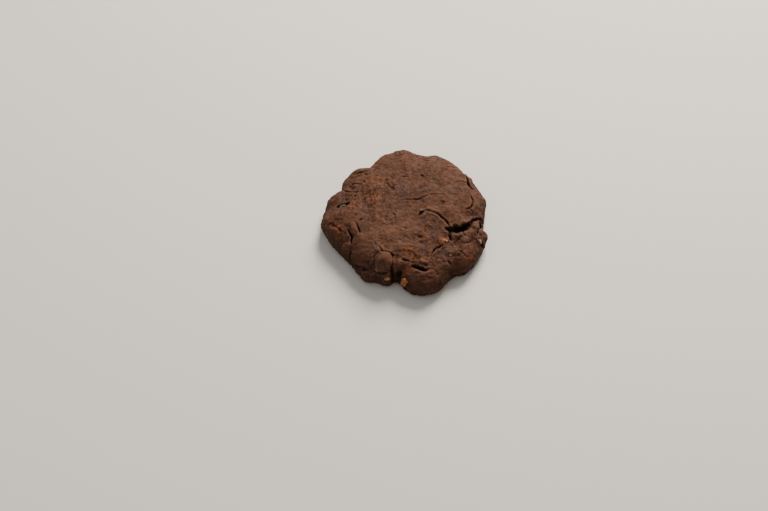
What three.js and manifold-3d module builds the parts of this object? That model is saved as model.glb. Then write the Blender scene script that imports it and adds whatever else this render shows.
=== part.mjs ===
// A thick dark cookie: one baked round of cocoa dough, split by cracks, with bits of nut in its skin.
// Millimetres, +Z up. The origin is the middle of the rest face. The deep front cleft and the front
// lobe face -Y, and the widest crack opens towards +X.
import * as THREE from "three";
import { mergeVertices } from "three/addons/utils/BufferGeometryUtils.js";
import Module from "manifold-3d";

const wasm = await Module();
wasm.setup();

// ---- Driving dimensions ----
const CROWN_HEIGHT = 22; // top of the dome above the rest face
const BELLY_SHARE = 0.2; // height of the widest ring, as a share of the crown height
const FOOT_SHARE = 0.93; // reach of the rest face, as a share of the rim's reach
const SHOULDER_POWER = 2.7; // 2 is an ellipse, and more is a fuller shoulder
const DOUGH_SEGMENTS = 96; // steps round the rim
const SHOULDER_STEPS = 18; // steps from the widest ring up to the crown
const FOOT_STEPS = 3; // steps from the rest face out to the widest ring
const LOBES_START = 0.45; // inside this share of the reach the lobed outline fades into a circle

const CRACK_STEP = 3; // length of one step along a crack
const CRACK_RISE = 4; // how far a crack's cutter stands above the skin
const CRACK_TIP = 0.2; // width and depth at a crack's ends, as a share of the middle's

const NUT_GAP = 0.3; // clearance between a nut bit and its pocket
const NUT_DETAIL = 2; // subdivision of a nut bit
const NUT_FLATS = 7; // broken faces on a nut bit
const NUT_FLAT_REACH = 0.8; // how far from its middle each broken face lies, as a share of its radius

// The rim's reach from the middle, as [direction in degrees from +X, reach in mm].
const RIM = [
  [4, 54.4],
  [14, 56.9],
  [29, 56.8],
  [40, 55.4],
  [54, 56.8],
  [63, 57.5],
  [70, 54.8], // small step in the back edge
  [80, 54.8],
  [87, 57.6],
  [96, 56.4],
  [104, 54.2],
  [114, 48.6], // dip where the back edge folds in
  [121, 49.8],
  [128, 52.6],
  [140, 51.4],
  [150, 49],
  [160, 53],
  [171, 53.5],
  [180, 55.4], // left lobe
  [190, 53.2],
  [203, 50],
  [218, 48.2],
  [228, 49.2],
  [238, 51.6],
  [246, 49.6],
  [255, 50.4],
  [262, 46.6], // front cleft
  [270, 53.2],
  [279, 58.4], // front lobe
  [289, 58.2],
  [299, 54.6],
  [306, 53.8],
  [315, 57],
  [328, 57.6],
  [341, 57.4],
  [348, 54.2], // mouth of the wide crack
  [355, 52.6],
];

// Low swellings and hollows of the top: [x, y, radius, rise].
const SWELLS = [
  [34, 2, 15, 1.6], // plate behind the wide crack
  [-8, 2, 26, 0.6], // middle of the crown
  [9, -50, 11, 1.6], // front lobe
  [-14, -37, 6, 1.6], // knob beside the cleft
  [46.8, -12.6, 4.5, 1.6], // knob in the mouth of the wide crack
  [-26, -27, 11, 1], // smooth plate on the left front
  [-46, -8, 9, 1.6], // left lobe
  [12, 22, 9, -0.7], // hollow behind the crown
  [-30, 14, 8, -0.8], // hollow beside the left slit
  [12, -24, 7, -0.7], // hollow in front of the crown
  [33, -23, 6, -1.4], // sunk dough in front of the wide crack
  [-23, 40, 7, -1.6], // sunk back edge
];

// The cracks. Each path is seen from above, and lean moves the keel to the right of the path's run.
const CRACKS = {
  wide_crack_inner: {
    width: 1.9, depth: 5, lean: -1,
    path: [[9.6, -7.4], [11.8, -5.3], [15.3, -3.8], [20, -5.1], [24.7, -8.2], [28, -12.6], [30.4, -17]],
  },
  wide_crack_outer: {
    width: 5, depth: 8.5, lean: -2,
    path: [[26.5, -16.6], [30, -18], [34, -17.8], [38.2, -16.7], [42, -13.9], [45.5, -10.6]],
  },
  wide_crack_mouth: {
    width: 2.4, depth: 5, lean: -0.6,
    path: [[41, -14.6], [44.6, -11.4], [47.4, -8], [51, -5.4], [56, -4]],
  },
  wide_crack_branch: { width: 2.4, depth: 4.5, lean: 0, path: [[29.6, -17], [29.4, -22], [30.4, -25.4]] },
  wide_crack_nick: { width: 1, depth: 2, lean: 0, path: [[37.6, -18], [38.2, -20], [38.9, -21.8]] },
  knob_gap: {
    width: 1.5, depth: 4, lean: 0,
    path: [[50.2, -5], [50.9, -8.8], [50.3, -12.8], [48.5, -16.4], [47.8, -19.6]],
  },
  front_cleft: {
    width: 3, depth: 10, lean: 0,
    path: [[-9.4, -36.5], [-9.5, -40.5], [-9.2, -44], [-8, -47], [-5.5, -50], [-4, -56]],
  },
  cleft_hole: { width: 3.4, depth: 4.5, lean: 0, path: [[-6.4, -44.2], [-3.8, -45.8], [-1.4, -46.4]] },
  cleft_arm: {
    width: 1.3, depth: 3, lean: 0,
    path: [[-4.6, -38.2], [-0.5, -39], [1.3, -40.9], [3.2, -42.4]],
  },
  front_slot: {
    width: 2, depth: 5, lean: -1.4,
    path: [[2.2, -42.6], [6, -44.4], [9.6, -46], [12, -46.6], [14.6, -46.2]],
  },
  front_right_crack: {
    width: 1, depth: 2.2, lean: 0,
    path: [[15.9, -36.9], [17.6, -34.4], [19.2, -31.8], [21, -30.8], [24.8, -29.8]],
  },
  front_pit: { width: 1.3, depth: 1.8, lean: 0, path: [[26.8, -38.6], [28, -40], [29.2, -40.8]] },
  knob_crack: {
    width: 1.1, depth: 2.6, lean: 0,
    path: [[-18.2, -28], [-16.3, -30.2], [-15, -32.2], [-11.6, -33.1]],
  },
  left_lobe_crack: {
    width: 1.8, depth: 3.4, lean: 0,
    path: [[-37.6, -14.2], [-35.4, -17.2], [-34.5, -19], [-35.2, -21.4], [-35.5, -24]],
  },
  left_side_hole: { width: 2, depth: 2.4, lean: 0, path: [[-35.8, -26.2], [-36.2, -28.2], [-36.4, -30]] },
  left_plate_crack: {
    width: 1.2, depth: 2.8, lean: 0.5,
    path: [[-31.8, -8.4], [-30.7, -11.8], [-29.2, -15], [-28.9, -17.2], [-30.2, -19]],
  },
  left_slit: { width: 3.4, depth: 4.4, lean: 0, path: [[-45.4, 6.6], [-41.5, 6.8], [-38.5, 7], [-35, 8.4]] },
  back_left_crack: {
    width: 1.4, depth: 2.8, lean: 0.6,
    path: [[-31.8, 33], [-27.5, 34], [-24.7, 34.7], [-21, 36.2]],
  },
  back_right_crack: {
    width: 1.3, depth: 2.8, lean: -0.6,
    path: [[30.4, 36.2], [33.4, 35], [36.2, 35], [38.3, 33.1], [39.4, 30]],
  },
  right_notch: {
    width: 2, depth: 3.6, lean: -0.6,
    path: [[43.4, 30.4], [45, 26.6], [45.2, 22], [46.4, 19.2], [48.4, 16.6]],
  },
  right_crack: {
    width: 1, depth: 2.2, lean: 0.4,
    path: [[45, 13], [45.4, 9], [46.4, 6], [45.9, 2.8], [43.6, -0.2], [40.6, -1.2]],
  },
  crown_crack: {
    width: 0.9, depth: 1.6, lean: 0,
    path: [[-2.6, 5.6], [2.2, 6.3], [9.5, 6.4], [12.9, 7.4], [17, 9.3], [21.4, 9.9], [30.4, 8.9]],
  },
};

// Bits of nut held in the skin: at is each one's middle from above, level its height over the rest
// face or sink its depth below the skin, size its three lengths and turn its angle about the upright.
const NUT_BITS = {
  front_nut_chunk: { kind: "brown", at: [-1.1, -49.8], level: 9.4, size: [6.6, 5, 7.4], turn: 12 },
  side_nut_bit: { kind: "golden", at: [-18.9, -41.8], level: 13.6, size: [3.4, 3, 2.8], turn: 35 },
  foot_nut_bit: { kind: "golden", at: [-12.8, -46.6], level: 10.4, size: [4.2, 3.2, 3.4], turn: -15 },
  rim_nut_sliver: { kind: "pale", at: [49.4, -23.3], level: 12.4, size: [1.8, 5, 2.2], turn: 16 },
  slit_nut_sliver: { kind: "pale", at: [-40, 6.7], sink: 1.3, size: [5, 2, 2.2], turn: 12 },
  crack_nut_crumb: { kind: "pale", at: [11.3, -3.2], sink: 0.1, size: [2, 1.8, 1.6], turn: 0 },
  crown_nut_crumb: { kind: "pale", at: [28.9, -35.7], sink: 0.15, size: [1.9, 1.7, 1.6], turn: 40 },
  crown_nut_flake: { kind: "brown", at: [25.4, -25.9], sink: 0.4, size: [6, 2.4, 2], turn: -9 },
};

const MATERIALS = {
  dough: () => new THREE.MeshStandardMaterial({ color: "#5b3c2d", roughness: 0.86, metalness: 0 }),
  brown: () => new THREE.MeshStandardMaterial({ color: "#b0692f", roughness: 0.5, metalness: 0 }),
  golden: () => new THREE.MeshStandardMaterial({ color: "#b3884f", roughness: 0.6, metalness: 0 }),
  pale: () => new THREE.MeshStandardMaterial({ color: "#d8c3ad", roughness: 0.65, metalness: 0 }),
};

// ---- The dome's shape ----
const rimCurve = new THREE.CatmullRomCurve3(
  RIM.map(([degrees, reach]) => polar(THREE.MathUtils.degToRad(degrees), reach)),
  true,
);
const rimPoints = rimCurve.getSpacedPoints(720);
const meanReach = RIM.reduce((sum, [, reach]) => sum + reach, 0) / RIM.length;

function polar(angle, reach) {
  return new THREE.Vector3(reach * Math.cos(angle), reach * Math.sin(angle), 0);
}

// The rim's reach in one direction, read between the two nearest points of the rim curve.
function rimReach(angle) {
  const turn = (a) => THREE.MathUtils.euclideanModulo(a, 2 * Math.PI);
  const wanted = turn(angle);
  const gap = (p) => Math.abs(turn(Math.atan2(p.y, p.x) - wanted + Math.PI) - Math.PI);
  const [near, next] = rimPoints.slice(0, -1).sort((p, q) => gap(p) - gap(q));
  const share = gap(near) / (gap(near) + gap(next));
  return THREE.MathUtils.lerp(Math.hypot(near.x, near.y), Math.hypot(next.x, next.y), share);
}

const reachTable = Array.from({ length: 720 }, (_, i) => rimReach((i * Math.PI) / 360));

// The reach of the dome's ring that lies at a share of the whole: lobed outside, round inside.
function ringReach(angle, share) {
  const step = THREE.MathUtils.euclideanModulo((angle * 360) / Math.PI, 720);
  const low = Math.floor(step) % 720;
  const lobed = THREE.MathUtils.lerp(reachTable[low], reachTable[(low + 1) % 720], step - Math.floor(step));
  return THREE.MathUtils.lerp(meanReach, lobed, THREE.MathUtils.smoothstep(share, LOBES_START, 1));
}

// Height of the crown over one place, with its swellings and hollows.
function crownHeight(x, y) {
  return SWELLS.reduce((height, [cx, cy, radius, rise]) => {
    const away = Math.hypot(x - cx, y - cy) / radius;
    return height + rise * Math.exp(-away * away);
  }, CROWN_HEIGHT);
}

// The dome's section in shares: out along the rest face, round the foot and up over the shoulder.
function domeSection() {
  const points = [0, 0.35, 0.7].map((share) => new THREE.Vector2(share * FOOT_SHARE, 0));
  for (let i = 0; i <= FOOT_STEPS; i++) {
    const turn = (i / FOOT_STEPS) * (Math.PI / 2);
    const out = FOOT_SHARE + (1 - FOOT_SHARE) * Math.sin(turn);
    points.push(new THREE.Vector2(out, BELLY_SHARE * (1 - Math.cos(turn))));
  }
  for (let i = 1; i <= SHOULDER_STEPS; i++) {
    const turn = (i / SHOULDER_STEPS) * (Math.PI / 2);
    const out = i === SHOULDER_STEPS ? 0 : Math.cos(turn) ** (2 / SHOULDER_POWER);
    const up = Math.sin(turn) ** (2 / SHOULDER_POWER);
    points.push(new THREE.Vector2(out, BELLY_SHARE + (1 - BELLY_SHARE) * up));
  }
  return points;
}

// Height of the skin over one place inside the rim.
function skinHeight(x, y) {
  const away = Math.hypot(x, y);
  let share = away / meanReach;
  for (let i = 0; i < 4; i++) share = Math.min(1, away / ringReach(Math.atan2(y, x), share));
  const up = (1 - share ** SHOULDER_POWER) ** (1 / SHOULDER_POWER);
  return crownHeight(x, y) * (BELLY_SHARE + (1 - BELLY_SHARE) * up);
}

function domeGeometry() {
  const dome = new THREE.LatheGeometry(domeSection(), DOUGH_SEGMENTS);
  const place = dome.getAttribute("position");
  for (let i = 0; i < place.count; i++) {
    const share = Math.hypot(place.getX(i), place.getZ(i));
    const angle = Math.atan2(-place.getZ(i), place.getX(i));
    const reach = share * ringReach(angle, share);
    const [x, y] = [reach * Math.cos(angle), reach * Math.sin(angle)];
    place.setXYZ(i, x, y, place.getY(i) * crownHeight(x, y));
  }
  return dome;
}

// ---- Cracks ----
// A crack's cutter is a six-sided spindle laid along the path: its top edge stands clear of the
// skin, its sides go straight down at first, and its keel is sharp.
const CRACK_SECTION = [
  { side: 0, up: 1 },
  { side: 1, up: 0.3 },
  { side: 0.7, down: 0.55 },
  { side: 0, down: 1 },
  { side: -0.7, down: 0.55 },
  { side: -1, up: 0.3 },
];

function crackGeometry({ path, width, depth, lean }) {
  const line = new THREE.SplineCurve(path.map(([x, y]) => new THREE.Vector2(x, y)));
  const steps = Math.ceil(line.getLength() / CRACK_STEP);
  const spindle = new THREE.CylinderGeometry(1, 1, 1, CRACK_SECTION.length, steps);
  const place = spindle.getAttribute("position");
  for (let i = 0; i < place.count; i++) {
    const along = THREE.MathUtils.clamp(0.5 + place.getY(i), 0, 1);
    const point = line.getPointAt(along);
    const run = line.getTangentAt(along);
    const body = CRACK_TIP + (1 - CRACK_TIP) * Math.sin(Math.PI * along) ** 0.7;
    const onAxis = Math.hypot(place.getX(i), place.getZ(i)) < 0.5;
    const turn = Math.atan2(place.getX(i), place.getZ(i)) / (Math.PI / 3);
    const corner = CRACK_SECTION[THREE.MathUtils.euclideanModulo(Math.round(turn), 6)];
    const { side, up = 0, down = 0 } = onAxis ? { side: 0, down: 0.3 } : corner;
    const across = side * (width / 2) * body + lean * down * body;
    const [x, y] = [point.x + run.y * across, point.y - run.x * across];
    place.setXYZ(i, x, y, skinHeight(point.x, point.y) + up * CRACK_RISE - down * depth * body);
  }
  return spindle;
}

// ---- Nut bits ----
// A broken bit of nut: a ball cut back to a few flat faces, in directions spread evenly round it.
function nutGeometry([length, breadth, height], grow = 0) {
  const bit = new THREE.IcosahedronGeometry(1, NUT_DETAIL);
  const place = bit.getAttribute("position");
  const point = new THREE.Vector3();
  for (let i = 0; i < place.count; i++) {
    point.fromBufferAttribute(place, i);
    for (let k = 0; k < NUT_FLATS; k++) {
      const flat = new THREE.Vector3().setFromSphericalCoords(
        1,
        Math.acos(1 - (2 * k + 1) / NUT_FLATS),
        k * Math.PI * (3 - Math.sqrt(5)),
      );
      point.addScaledVector(flat, -Math.max(0, point.dot(flat) - NUT_FLAT_REACH));
    }
    place.setXYZ(i, point.x, point.y, point.z);
  }
  return bit.scale(length / 2 + grow, breadth / 2 + grow, height / 2 + grow);
}

function placeNut(geometry, { at: [x, y], sink, level, turn }) {
  const height = level ?? skinHeight(x, y) - sink;
  return geometry.rotateZ(THREE.MathUtils.degToRad(turn)).translate(x, y, height);
}

// ---- Solids ----
// A closed geometry as a manifold-3d solid: shared corners merged and flat slivers dropped.
function solid(geometry) {
  const bare = geometry.clone();
  ["normal", "uv"].forEach((name) => bare.deleteAttribute(name));
  const merged = mergeVertices(bare, 1e-4);
  const corners = Array.from(merged.index.array);
  const triVerts = [];
  for (let i = 0; i < corners.length; i += 3) {
    const triangle = corners.slice(i, i + 3);
    if (new Set(triangle).size === 3) triVerts.push(...triangle);
  }
  return new wasm.Manifold(
    new wasm.Mesh({
      numProp: 3,
      vertProperties: merged.getAttribute("position").array,
      triVerts: new Uint32Array(triVerts),
    }),
  );
}

function geometryOf(body) {
  const { vertProperties, triVerts } = body.getMesh();
  const geometry = new THREE.BufferGeometry();
  geometry.setAttribute("position", new THREE.BufferAttribute(vertProperties, 3));
  geometry.setIndex(new THREE.BufferAttribute(triVerts, 1));
  geometry.computeVertexNormals();
  return geometry;
}

function namedMesh(name, geometry, material) {
  const mesh = new THREE.Mesh(geometry, material);
  mesh.name = name;
  return mesh;
}

function doughMesh() {
  const cutters = [
    ...Object.values(CRACKS).map(crackGeometry),
    ...Object.values(NUT_BITS).map((bit) => placeNut(nutGeometry(bit.size, NUT_GAP), bit)),
  ];
  const cracked = cutters.reduce((dough, cutter) => dough.subtract(solid(cutter)), solid(domeGeometry()));
  const [largest] = cracked.decompose().sort((a, b) => b.volume() - a.volume()); // loose shavings drop off
  return namedMesh("cookie_dough", geometryOf(largest), MATERIALS.dough());
}

function nutMesh([name, bit]) {
  return namedMesh(name, geometryOf(solid(placeNut(nutGeometry(bit.size), bit))), MATERIALS[bit.kind]());
}

// ---- The cookie ----
// The outline is lobed, so the whole is moved until its rest face is centred on the origin.
const cookie = new THREE.Group();
const dough = doughMesh();
const middle = new THREE.Box3().setFromObject(dough).getCenter(new THREE.Vector3());
cookie.add(dough, ...Object.entries(NUT_BITS).map(nutMesh));
cookie.position.set(-middle.x, -middle.y, 0);

export default cookie;
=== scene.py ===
"""A chunky cocoa cookie: bakes its skin, cracks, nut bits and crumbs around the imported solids."""

import logging
import math
from collections.abc import Iterator
from contextlib import contextmanager
from dataclasses import dataclass, field
from enum import Enum
from typing import Any

import bmesh
import bpy
import numpy as np
from mathutils import Matrix, Vector
from mathutils.bvhtree import BVHTree


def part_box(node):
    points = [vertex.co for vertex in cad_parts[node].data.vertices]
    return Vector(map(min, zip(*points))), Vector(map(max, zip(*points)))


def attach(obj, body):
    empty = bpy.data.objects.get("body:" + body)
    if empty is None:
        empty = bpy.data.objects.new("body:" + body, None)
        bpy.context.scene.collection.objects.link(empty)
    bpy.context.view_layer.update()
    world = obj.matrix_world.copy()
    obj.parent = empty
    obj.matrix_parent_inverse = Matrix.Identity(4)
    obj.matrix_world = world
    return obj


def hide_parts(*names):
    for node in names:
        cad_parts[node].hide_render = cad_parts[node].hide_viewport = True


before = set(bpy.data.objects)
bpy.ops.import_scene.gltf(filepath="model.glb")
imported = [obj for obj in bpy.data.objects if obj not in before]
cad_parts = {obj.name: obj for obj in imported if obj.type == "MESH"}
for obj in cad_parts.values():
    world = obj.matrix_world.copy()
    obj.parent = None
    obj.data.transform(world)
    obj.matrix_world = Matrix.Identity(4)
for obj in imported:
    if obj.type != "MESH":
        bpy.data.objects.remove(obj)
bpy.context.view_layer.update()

MM = 0.001  # the tables below are in millimetres, and every mesh is in metres
MM_PER_METRE = 1000.0
SQUARE_CM_PER_SQUARE_METRE = 10_000.0
LOG = logging.getLogger("cookie")
BODY = "root"
CURVE_STEPS = 16  # straight steps between two knots of a curve

# Blender's names for the nodes that are used most, and the Mix node's sockets for colours.
MATH, VECTOR_MATH = "ShaderNodeMath", "ShaderNodeVectorMath"
CLOUD, REMAP, MIX = "ShaderNodeTexNoise", "ShaderNodeMapRange", "ShaderNodeMix"
NAMED = "GeometryNodeInputNamedAttribute"
SHARE, UNDER, OVER = 0, 6, 7


# ---------------------------------------------------------------- small helpers


def linear(colour: str) -> tuple[float, float, float, float]:
    """Turn an sRGB hex colour into linear light.

    Args:
        colour: six hex digits after a hash.

    Returns:
        Red, green, blue and a full alpha, as linear values.
    """
    parts = [int(colour[i : i + 2], 16) / 255 for i in (1, 3, 5)]
    light = [c / 12.92 if c <= 0.04045 else ((c + 0.055) / 1.055) ** 2.4 for c in parts]
    return (*light, 1.0)


def add_node(
    tree: bpy.types.NodeTree, kind: str, inputs: dict | None = None, **settings: Any
) -> bpy.types.Node:
    """Add one node with its settings, values and links.

    Args:
        tree: the node tree that gets the node.
        kind: the node's type name.
        inputs: socket name or index to a value, a socket, or a node whose first open output is linked.
        **settings: properties of the node itself.

    Returns:
        The new node.
    """
    node = tree.nodes.new(kind)
    for name, value in settings.items():
        setattr(node, name, value)
    for key, value in (inputs or {}).items():
        if isinstance(value, bpy.types.Node):
            value = next(out for out in value.outputs if out.enabled)
        if isinstance(value, bpy.types.NodeSocket):
            tree.links.new(value, node.inputs[key])
        else:
            node.inputs[key].default_value = value
    return node


def new_material(name: str) -> tuple[bpy.types.Material, bpy.types.NodeSocket]:
    """Start a material with an empty node tree.

    Args:
        name: the material's name.

    Returns:
        The material, and the socket in its tree that gives the place on the piece.
    """
    material = bpy.data.materials.new(name)
    material.use_nodes = True
    material.node_tree.nodes.clear()
    return material, add_node(material.node_tree, "ShaderNodeTexCoord").outputs["Object"]


def new_tree(name: str, numbers: tuple, whole_numbers: tuple = ()) -> bpy.types.NodeTree:
    """Start a geometry tree that takes a mesh and named numbers, and gives a mesh.

    Args:
        name: the tree's name.
        numbers: the names of its inputs.
        whole_numbers: the names of its inputs that take whole numbers.

    Returns:
        The tree.
    """
    tree = bpy.data.node_groups.new(name, "GeometryNodeTree")
    sockets = [("Geometry", "INPUT", "Geometry"), *((number, "INPUT", "Float") for number in numbers)]
    sockets += [(number, "INPUT", "Int") for number in whole_numbers]
    for socket, way, kind in (*sockets, ("Geometry", "OUTPUT", "Geometry")):
        tree.interface.new_socket(socket, in_out=way, socket_type="NodeSocket" + kind)
    return tree


def new_object(name: str, mesh: bpy.types.Mesh) -> bpy.types.Object:
    """Put a mesh in the scene as an object at the origin."""
    piece = bpy.data.objects.new(name, mesh)
    bpy.context.scene.collection.objects.link(piece)
    return piece


def mesh_from(name: str, points: np.ndarray, faces: list) -> bpy.types.Mesh:
    """Make a mesh from points in metres and faces by index."""
    mesh = bpy.data.meshes.new(name)
    mesh.from_pydata(points.tolist(), [], faces)
    mesh.update()
    return mesh


@contextmanager
def edited(mesh: bpy.types.Mesh) -> Iterator[bmesh.types.BMesh]:
    """Open a mesh for editing, and write it back when the work is done."""
    shape = bmesh.new()
    shape.from_mesh(mesh)
    yield shape
    shape.to_mesh(mesh)
    shape.free()


def settle(piece: bpy.types.Object) -> None:
    """Turn a piece's modifiers into plain mesh and remove them.

    Args:
        piece: the object whose evaluated mesh becomes its own.
    """
    bpy.context.view_layer.update()
    graph = bpy.context.evaluated_depsgraph_get()
    made = bpy.data.meshes.new_from_object(piece.evaluated_get(graph))
    old = piece.data
    piece.modifiers.clear()
    piece.data = made
    bpy.data.meshes.remove(old)


def run_nodes(piece: bpy.types.Object, tree: bpy.types.NodeTree, values: dict) -> None:
    """Run a node tree on a piece and keep the result as plain mesh, in the one material it is given.

    Args:
        piece: the piece.
        tree: the node tree.
        values: the value of each named input.
    """
    running = piece.modifiers.new(tree.name, "NODES")
    running.node_group = tree
    for socket in tree.interface.items_tree:
        if socket.in_out == "INPUT" and socket.name in values:
            running[socket.identifier] = values[socket.name]
    settle(piece)
    mesh = piece.data
    given = mesh.materials[mesh.polygons[0].material_index]
    mesh.materials.clear()  # drops the empty slots that the tree leaves
    mesh.materials.append(given)
    mesh.polygons.foreach_set("material_index", np.zeros(len(mesh.polygons), np.int32))


def points_of(mesh: bpy.types.Mesh, what: str = "co") -> np.ndarray:
    """Read a mesh's points as an array, or what else is kept for each of them."""
    flat = np.empty(len(mesh.vertices) * 3)
    mesh.vertices.foreach_get(what, flat)
    return flat.reshape(-1, 3)


def normals_of(mesh: bpy.types.Mesh) -> np.ndarray:
    """Read a mesh's point normals as an array."""
    return points_of(mesh, "normal")


def move_points(mesh: bpy.types.Mesh, points: np.ndarray) -> None:
    """Write new places for a mesh's points."""
    mesh.vertices.foreach_set("co", points.ravel())
    mesh.update()


def keep_above_table(mesh: bpy.types.Mesh) -> None:
    """Bring whatever lies under the table top up to it, so that the rest face is flat."""
    points = points_of(mesh)
    points[:, 2] = np.maximum(points[:, 2], 0)
    move_points(mesh, points)


def store(mesh: bpy.types.Mesh, name: str, values: np.ndarray) -> None:
    """Keep one number per point on a mesh, under a name that materials and node trees read."""
    layer = mesh.attributes.get(name) or mesh.attributes.new(name, "FLOAT", "POINT")
    layer.data.foreach_set("value", values.astype(np.float32))


def neighbours(mesh: bpy.types.Mesh) -> np.ndarray:
    """List every pair of points that share an edge, both ways round."""
    flat = np.empty(len(mesh.edges) * 2, int)
    mesh.edges.foreach_get("vertices", flat)
    pairs = flat.reshape(-1, 2)
    return np.concatenate([pairs, pairs[:, ::-1]])


def relax(mesh: bpy.types.Mesh, points: np.ndarray, rounds: int, share: float) -> np.ndarray:
    """Even out points by moving each towards the mean of its neighbours.

    Args:
        mesh: the mesh whose edges say which points are neighbours.
        points: the places to even out.
        rounds: how many times.
        share: how far towards the mean each time.

    Returns:
        The evened places.
    """
    ends = neighbours(mesh)
    count = np.maximum(np.bincount(ends[:, 0], minlength=len(points)), 1)
    for _ in range(rounds):
        mean = np.stack(
            [np.bincount(ends[:, 0], points[ends[:, 1], k], len(points)) / count for k in range(3)], 1
        )
        points = points + share * (mean - points)
    return points


def drop_fragments(mesh: bpy.types.Mesh) -> None:
    """Remove every loose fragment of a mesh and keep its largest part.

    Args:
        mesh: the mesh to clean.
    """
    ends = neighbours(mesh)
    # Each point takes the lowest label around it, until every part has one label of its own.
    label, older = np.arange(len(mesh.vertices)), None
    while older is None or (label != older).any():
        older = label.copy()
        np.minimum.at(label, ends[:, 0], older[ends[:, 1]])
        label = label[label]
    loose = np.flatnonzero(label != np.bincount(label).argmax())
    if len(loose):
        with edited(mesh) as cleaned:
            cleaned.verts.ensure_lookup_table()
            bmesh.ops.delete(cleaned, geom=[cleaned.verts[k] for k in loose], context="VERTS")


def surface_of(mesh: bpy.types.Mesh) -> BVHTree:
    """Make a searchable surface from a mesh."""
    return BVHTree.FromPolygons(points_of(mesh), [tuple(face.vertices) for face in mesh.polygons])


def depth_below(surface: BVHTree, point: np.ndarray) -> float:
    """Say how far a point lies under a surface, in metres."""
    where, normal, _, _ = surface.find_nearest(Vector(point))
    return float((where - Vector(point)).dot(normal))


def smooth_step(low: float, high: float, value: np.ndarray) -> np.ndarray:
    """Ease from 0 at low to 1 at high."""
    share = np.clip((value - low) / (high - low), 0, 1)
    return share * share * (3 - 2 * share)


def curve_through(knots: list, step: float, closed: bool = False) -> np.ndarray:
    """Pass a smooth curve through knots and walk along it evenly.

    Args:
        knots: the points it passes, as x and y.
        step: the spacing of the points that are returned.
        closed: whether the curve meets its own start.

    Returns:
        Points on the curve, an even distance apart.
    """
    given = np.array(knots, float)
    if closed:
        padded = np.concatenate([given[-1:], given, given[:2]])
    else:
        padded = np.concatenate([given[:1], given, given[-1:]])
    share = np.linspace(0, 1, CURVE_STEPS, endpoint=False)[:, None]
    dense = []
    for a, b, c, d in zip(padded, padded[1:], padded[2:], padded[3:]):
        bend = (2 * a - 5 * b + 4 * c - d) * share**2 + (3 * b - a - 3 * c + d) * share**3
        dense.append(0.5 * (2 * b + (c - a) * share + bend))
    walk = np.concatenate([*dense, padded[-2:-1]])
    run = np.concatenate([[0], np.cumsum(np.linalg.norm(np.diff(walk, axis=0), axis=1))])
    stops = np.linspace(0, run[-1], max(3, round(run[-1] / step) + 1))
    return np.stack([np.interp(stops, run, walk[:, k]) for k in range(2)], 1)


def wander(rng: np.random.Generator, count: int, every: int) -> np.ndarray:
    """Draw a smooth random line of values around 0, with a new turn every few steps."""
    turns = rng.normal(0, 0.5, count // every + 3)
    return np.interp(np.arange(count) / every, np.arange(len(turns)), turns)


# ---------------------------------------------------------------- the dome of dough

# The rim's reach from the middle: direction in degrees from +X, and reach.
RIM = (
    (4, 54.4), (14, 56.9), (29, 56.8), (40, 55.4), (54, 56.8), (63, 57.5), (70, 54.8), (80, 54.8),
    (87, 57.6), (96, 56.4), (104, 54.2), (114, 48.6), (121, 49.8), (128, 52.6), (140, 51.4),
    (150, 49), (160, 53), (171, 53.5), (180, 55.4), (190, 53.2), (203, 50), (218, 48.2),
    (228, 49.2), (238, 51.6), (246, 49.6), (255, 50.4), (262, 46.6), (270, 53.2), (279, 58.4),
    (289, 58.2), (299, 54.6), (306, 53.8), (315, 57), (328, 57.6), (341, 57.4), (348, 54.2),
    (355, 52.6),
)  # fmt: skip

# Swellings and hollows of the top: x, y, radius and rise. +X is right and +Y is the back.
SWELLS = (
    (34, 2, 15, 1.6),  # plate behind the wide crack
    (-8, 2, 26, 0.6),  # middle of the crown
    (9, -50, 11, 1.6),  # front lobe
    (-14, -37, 6, 1.6),  # knob beside the cleft
    (46.8, -12.6, 4.5, 1.6),  # knob in the mouth of the wide crack
    (-26, -27, 11, 1),  # smooth plate on the left front
    (-46, -8, 9, 1.6),  # left lobe
    (12, 22, 9, -0.7),  # hollow behind the crown
    (-30, 14, 8, -0.8),  # hollow beside the left slit
    (11, -26, 7, -1.0),  # hollow in front of the crown
    (33, -23, 6, -1.4),  # sunk dough in front of the wide crack
    (-23, 40, 7, -1.6),  # sunk back edge
)


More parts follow.
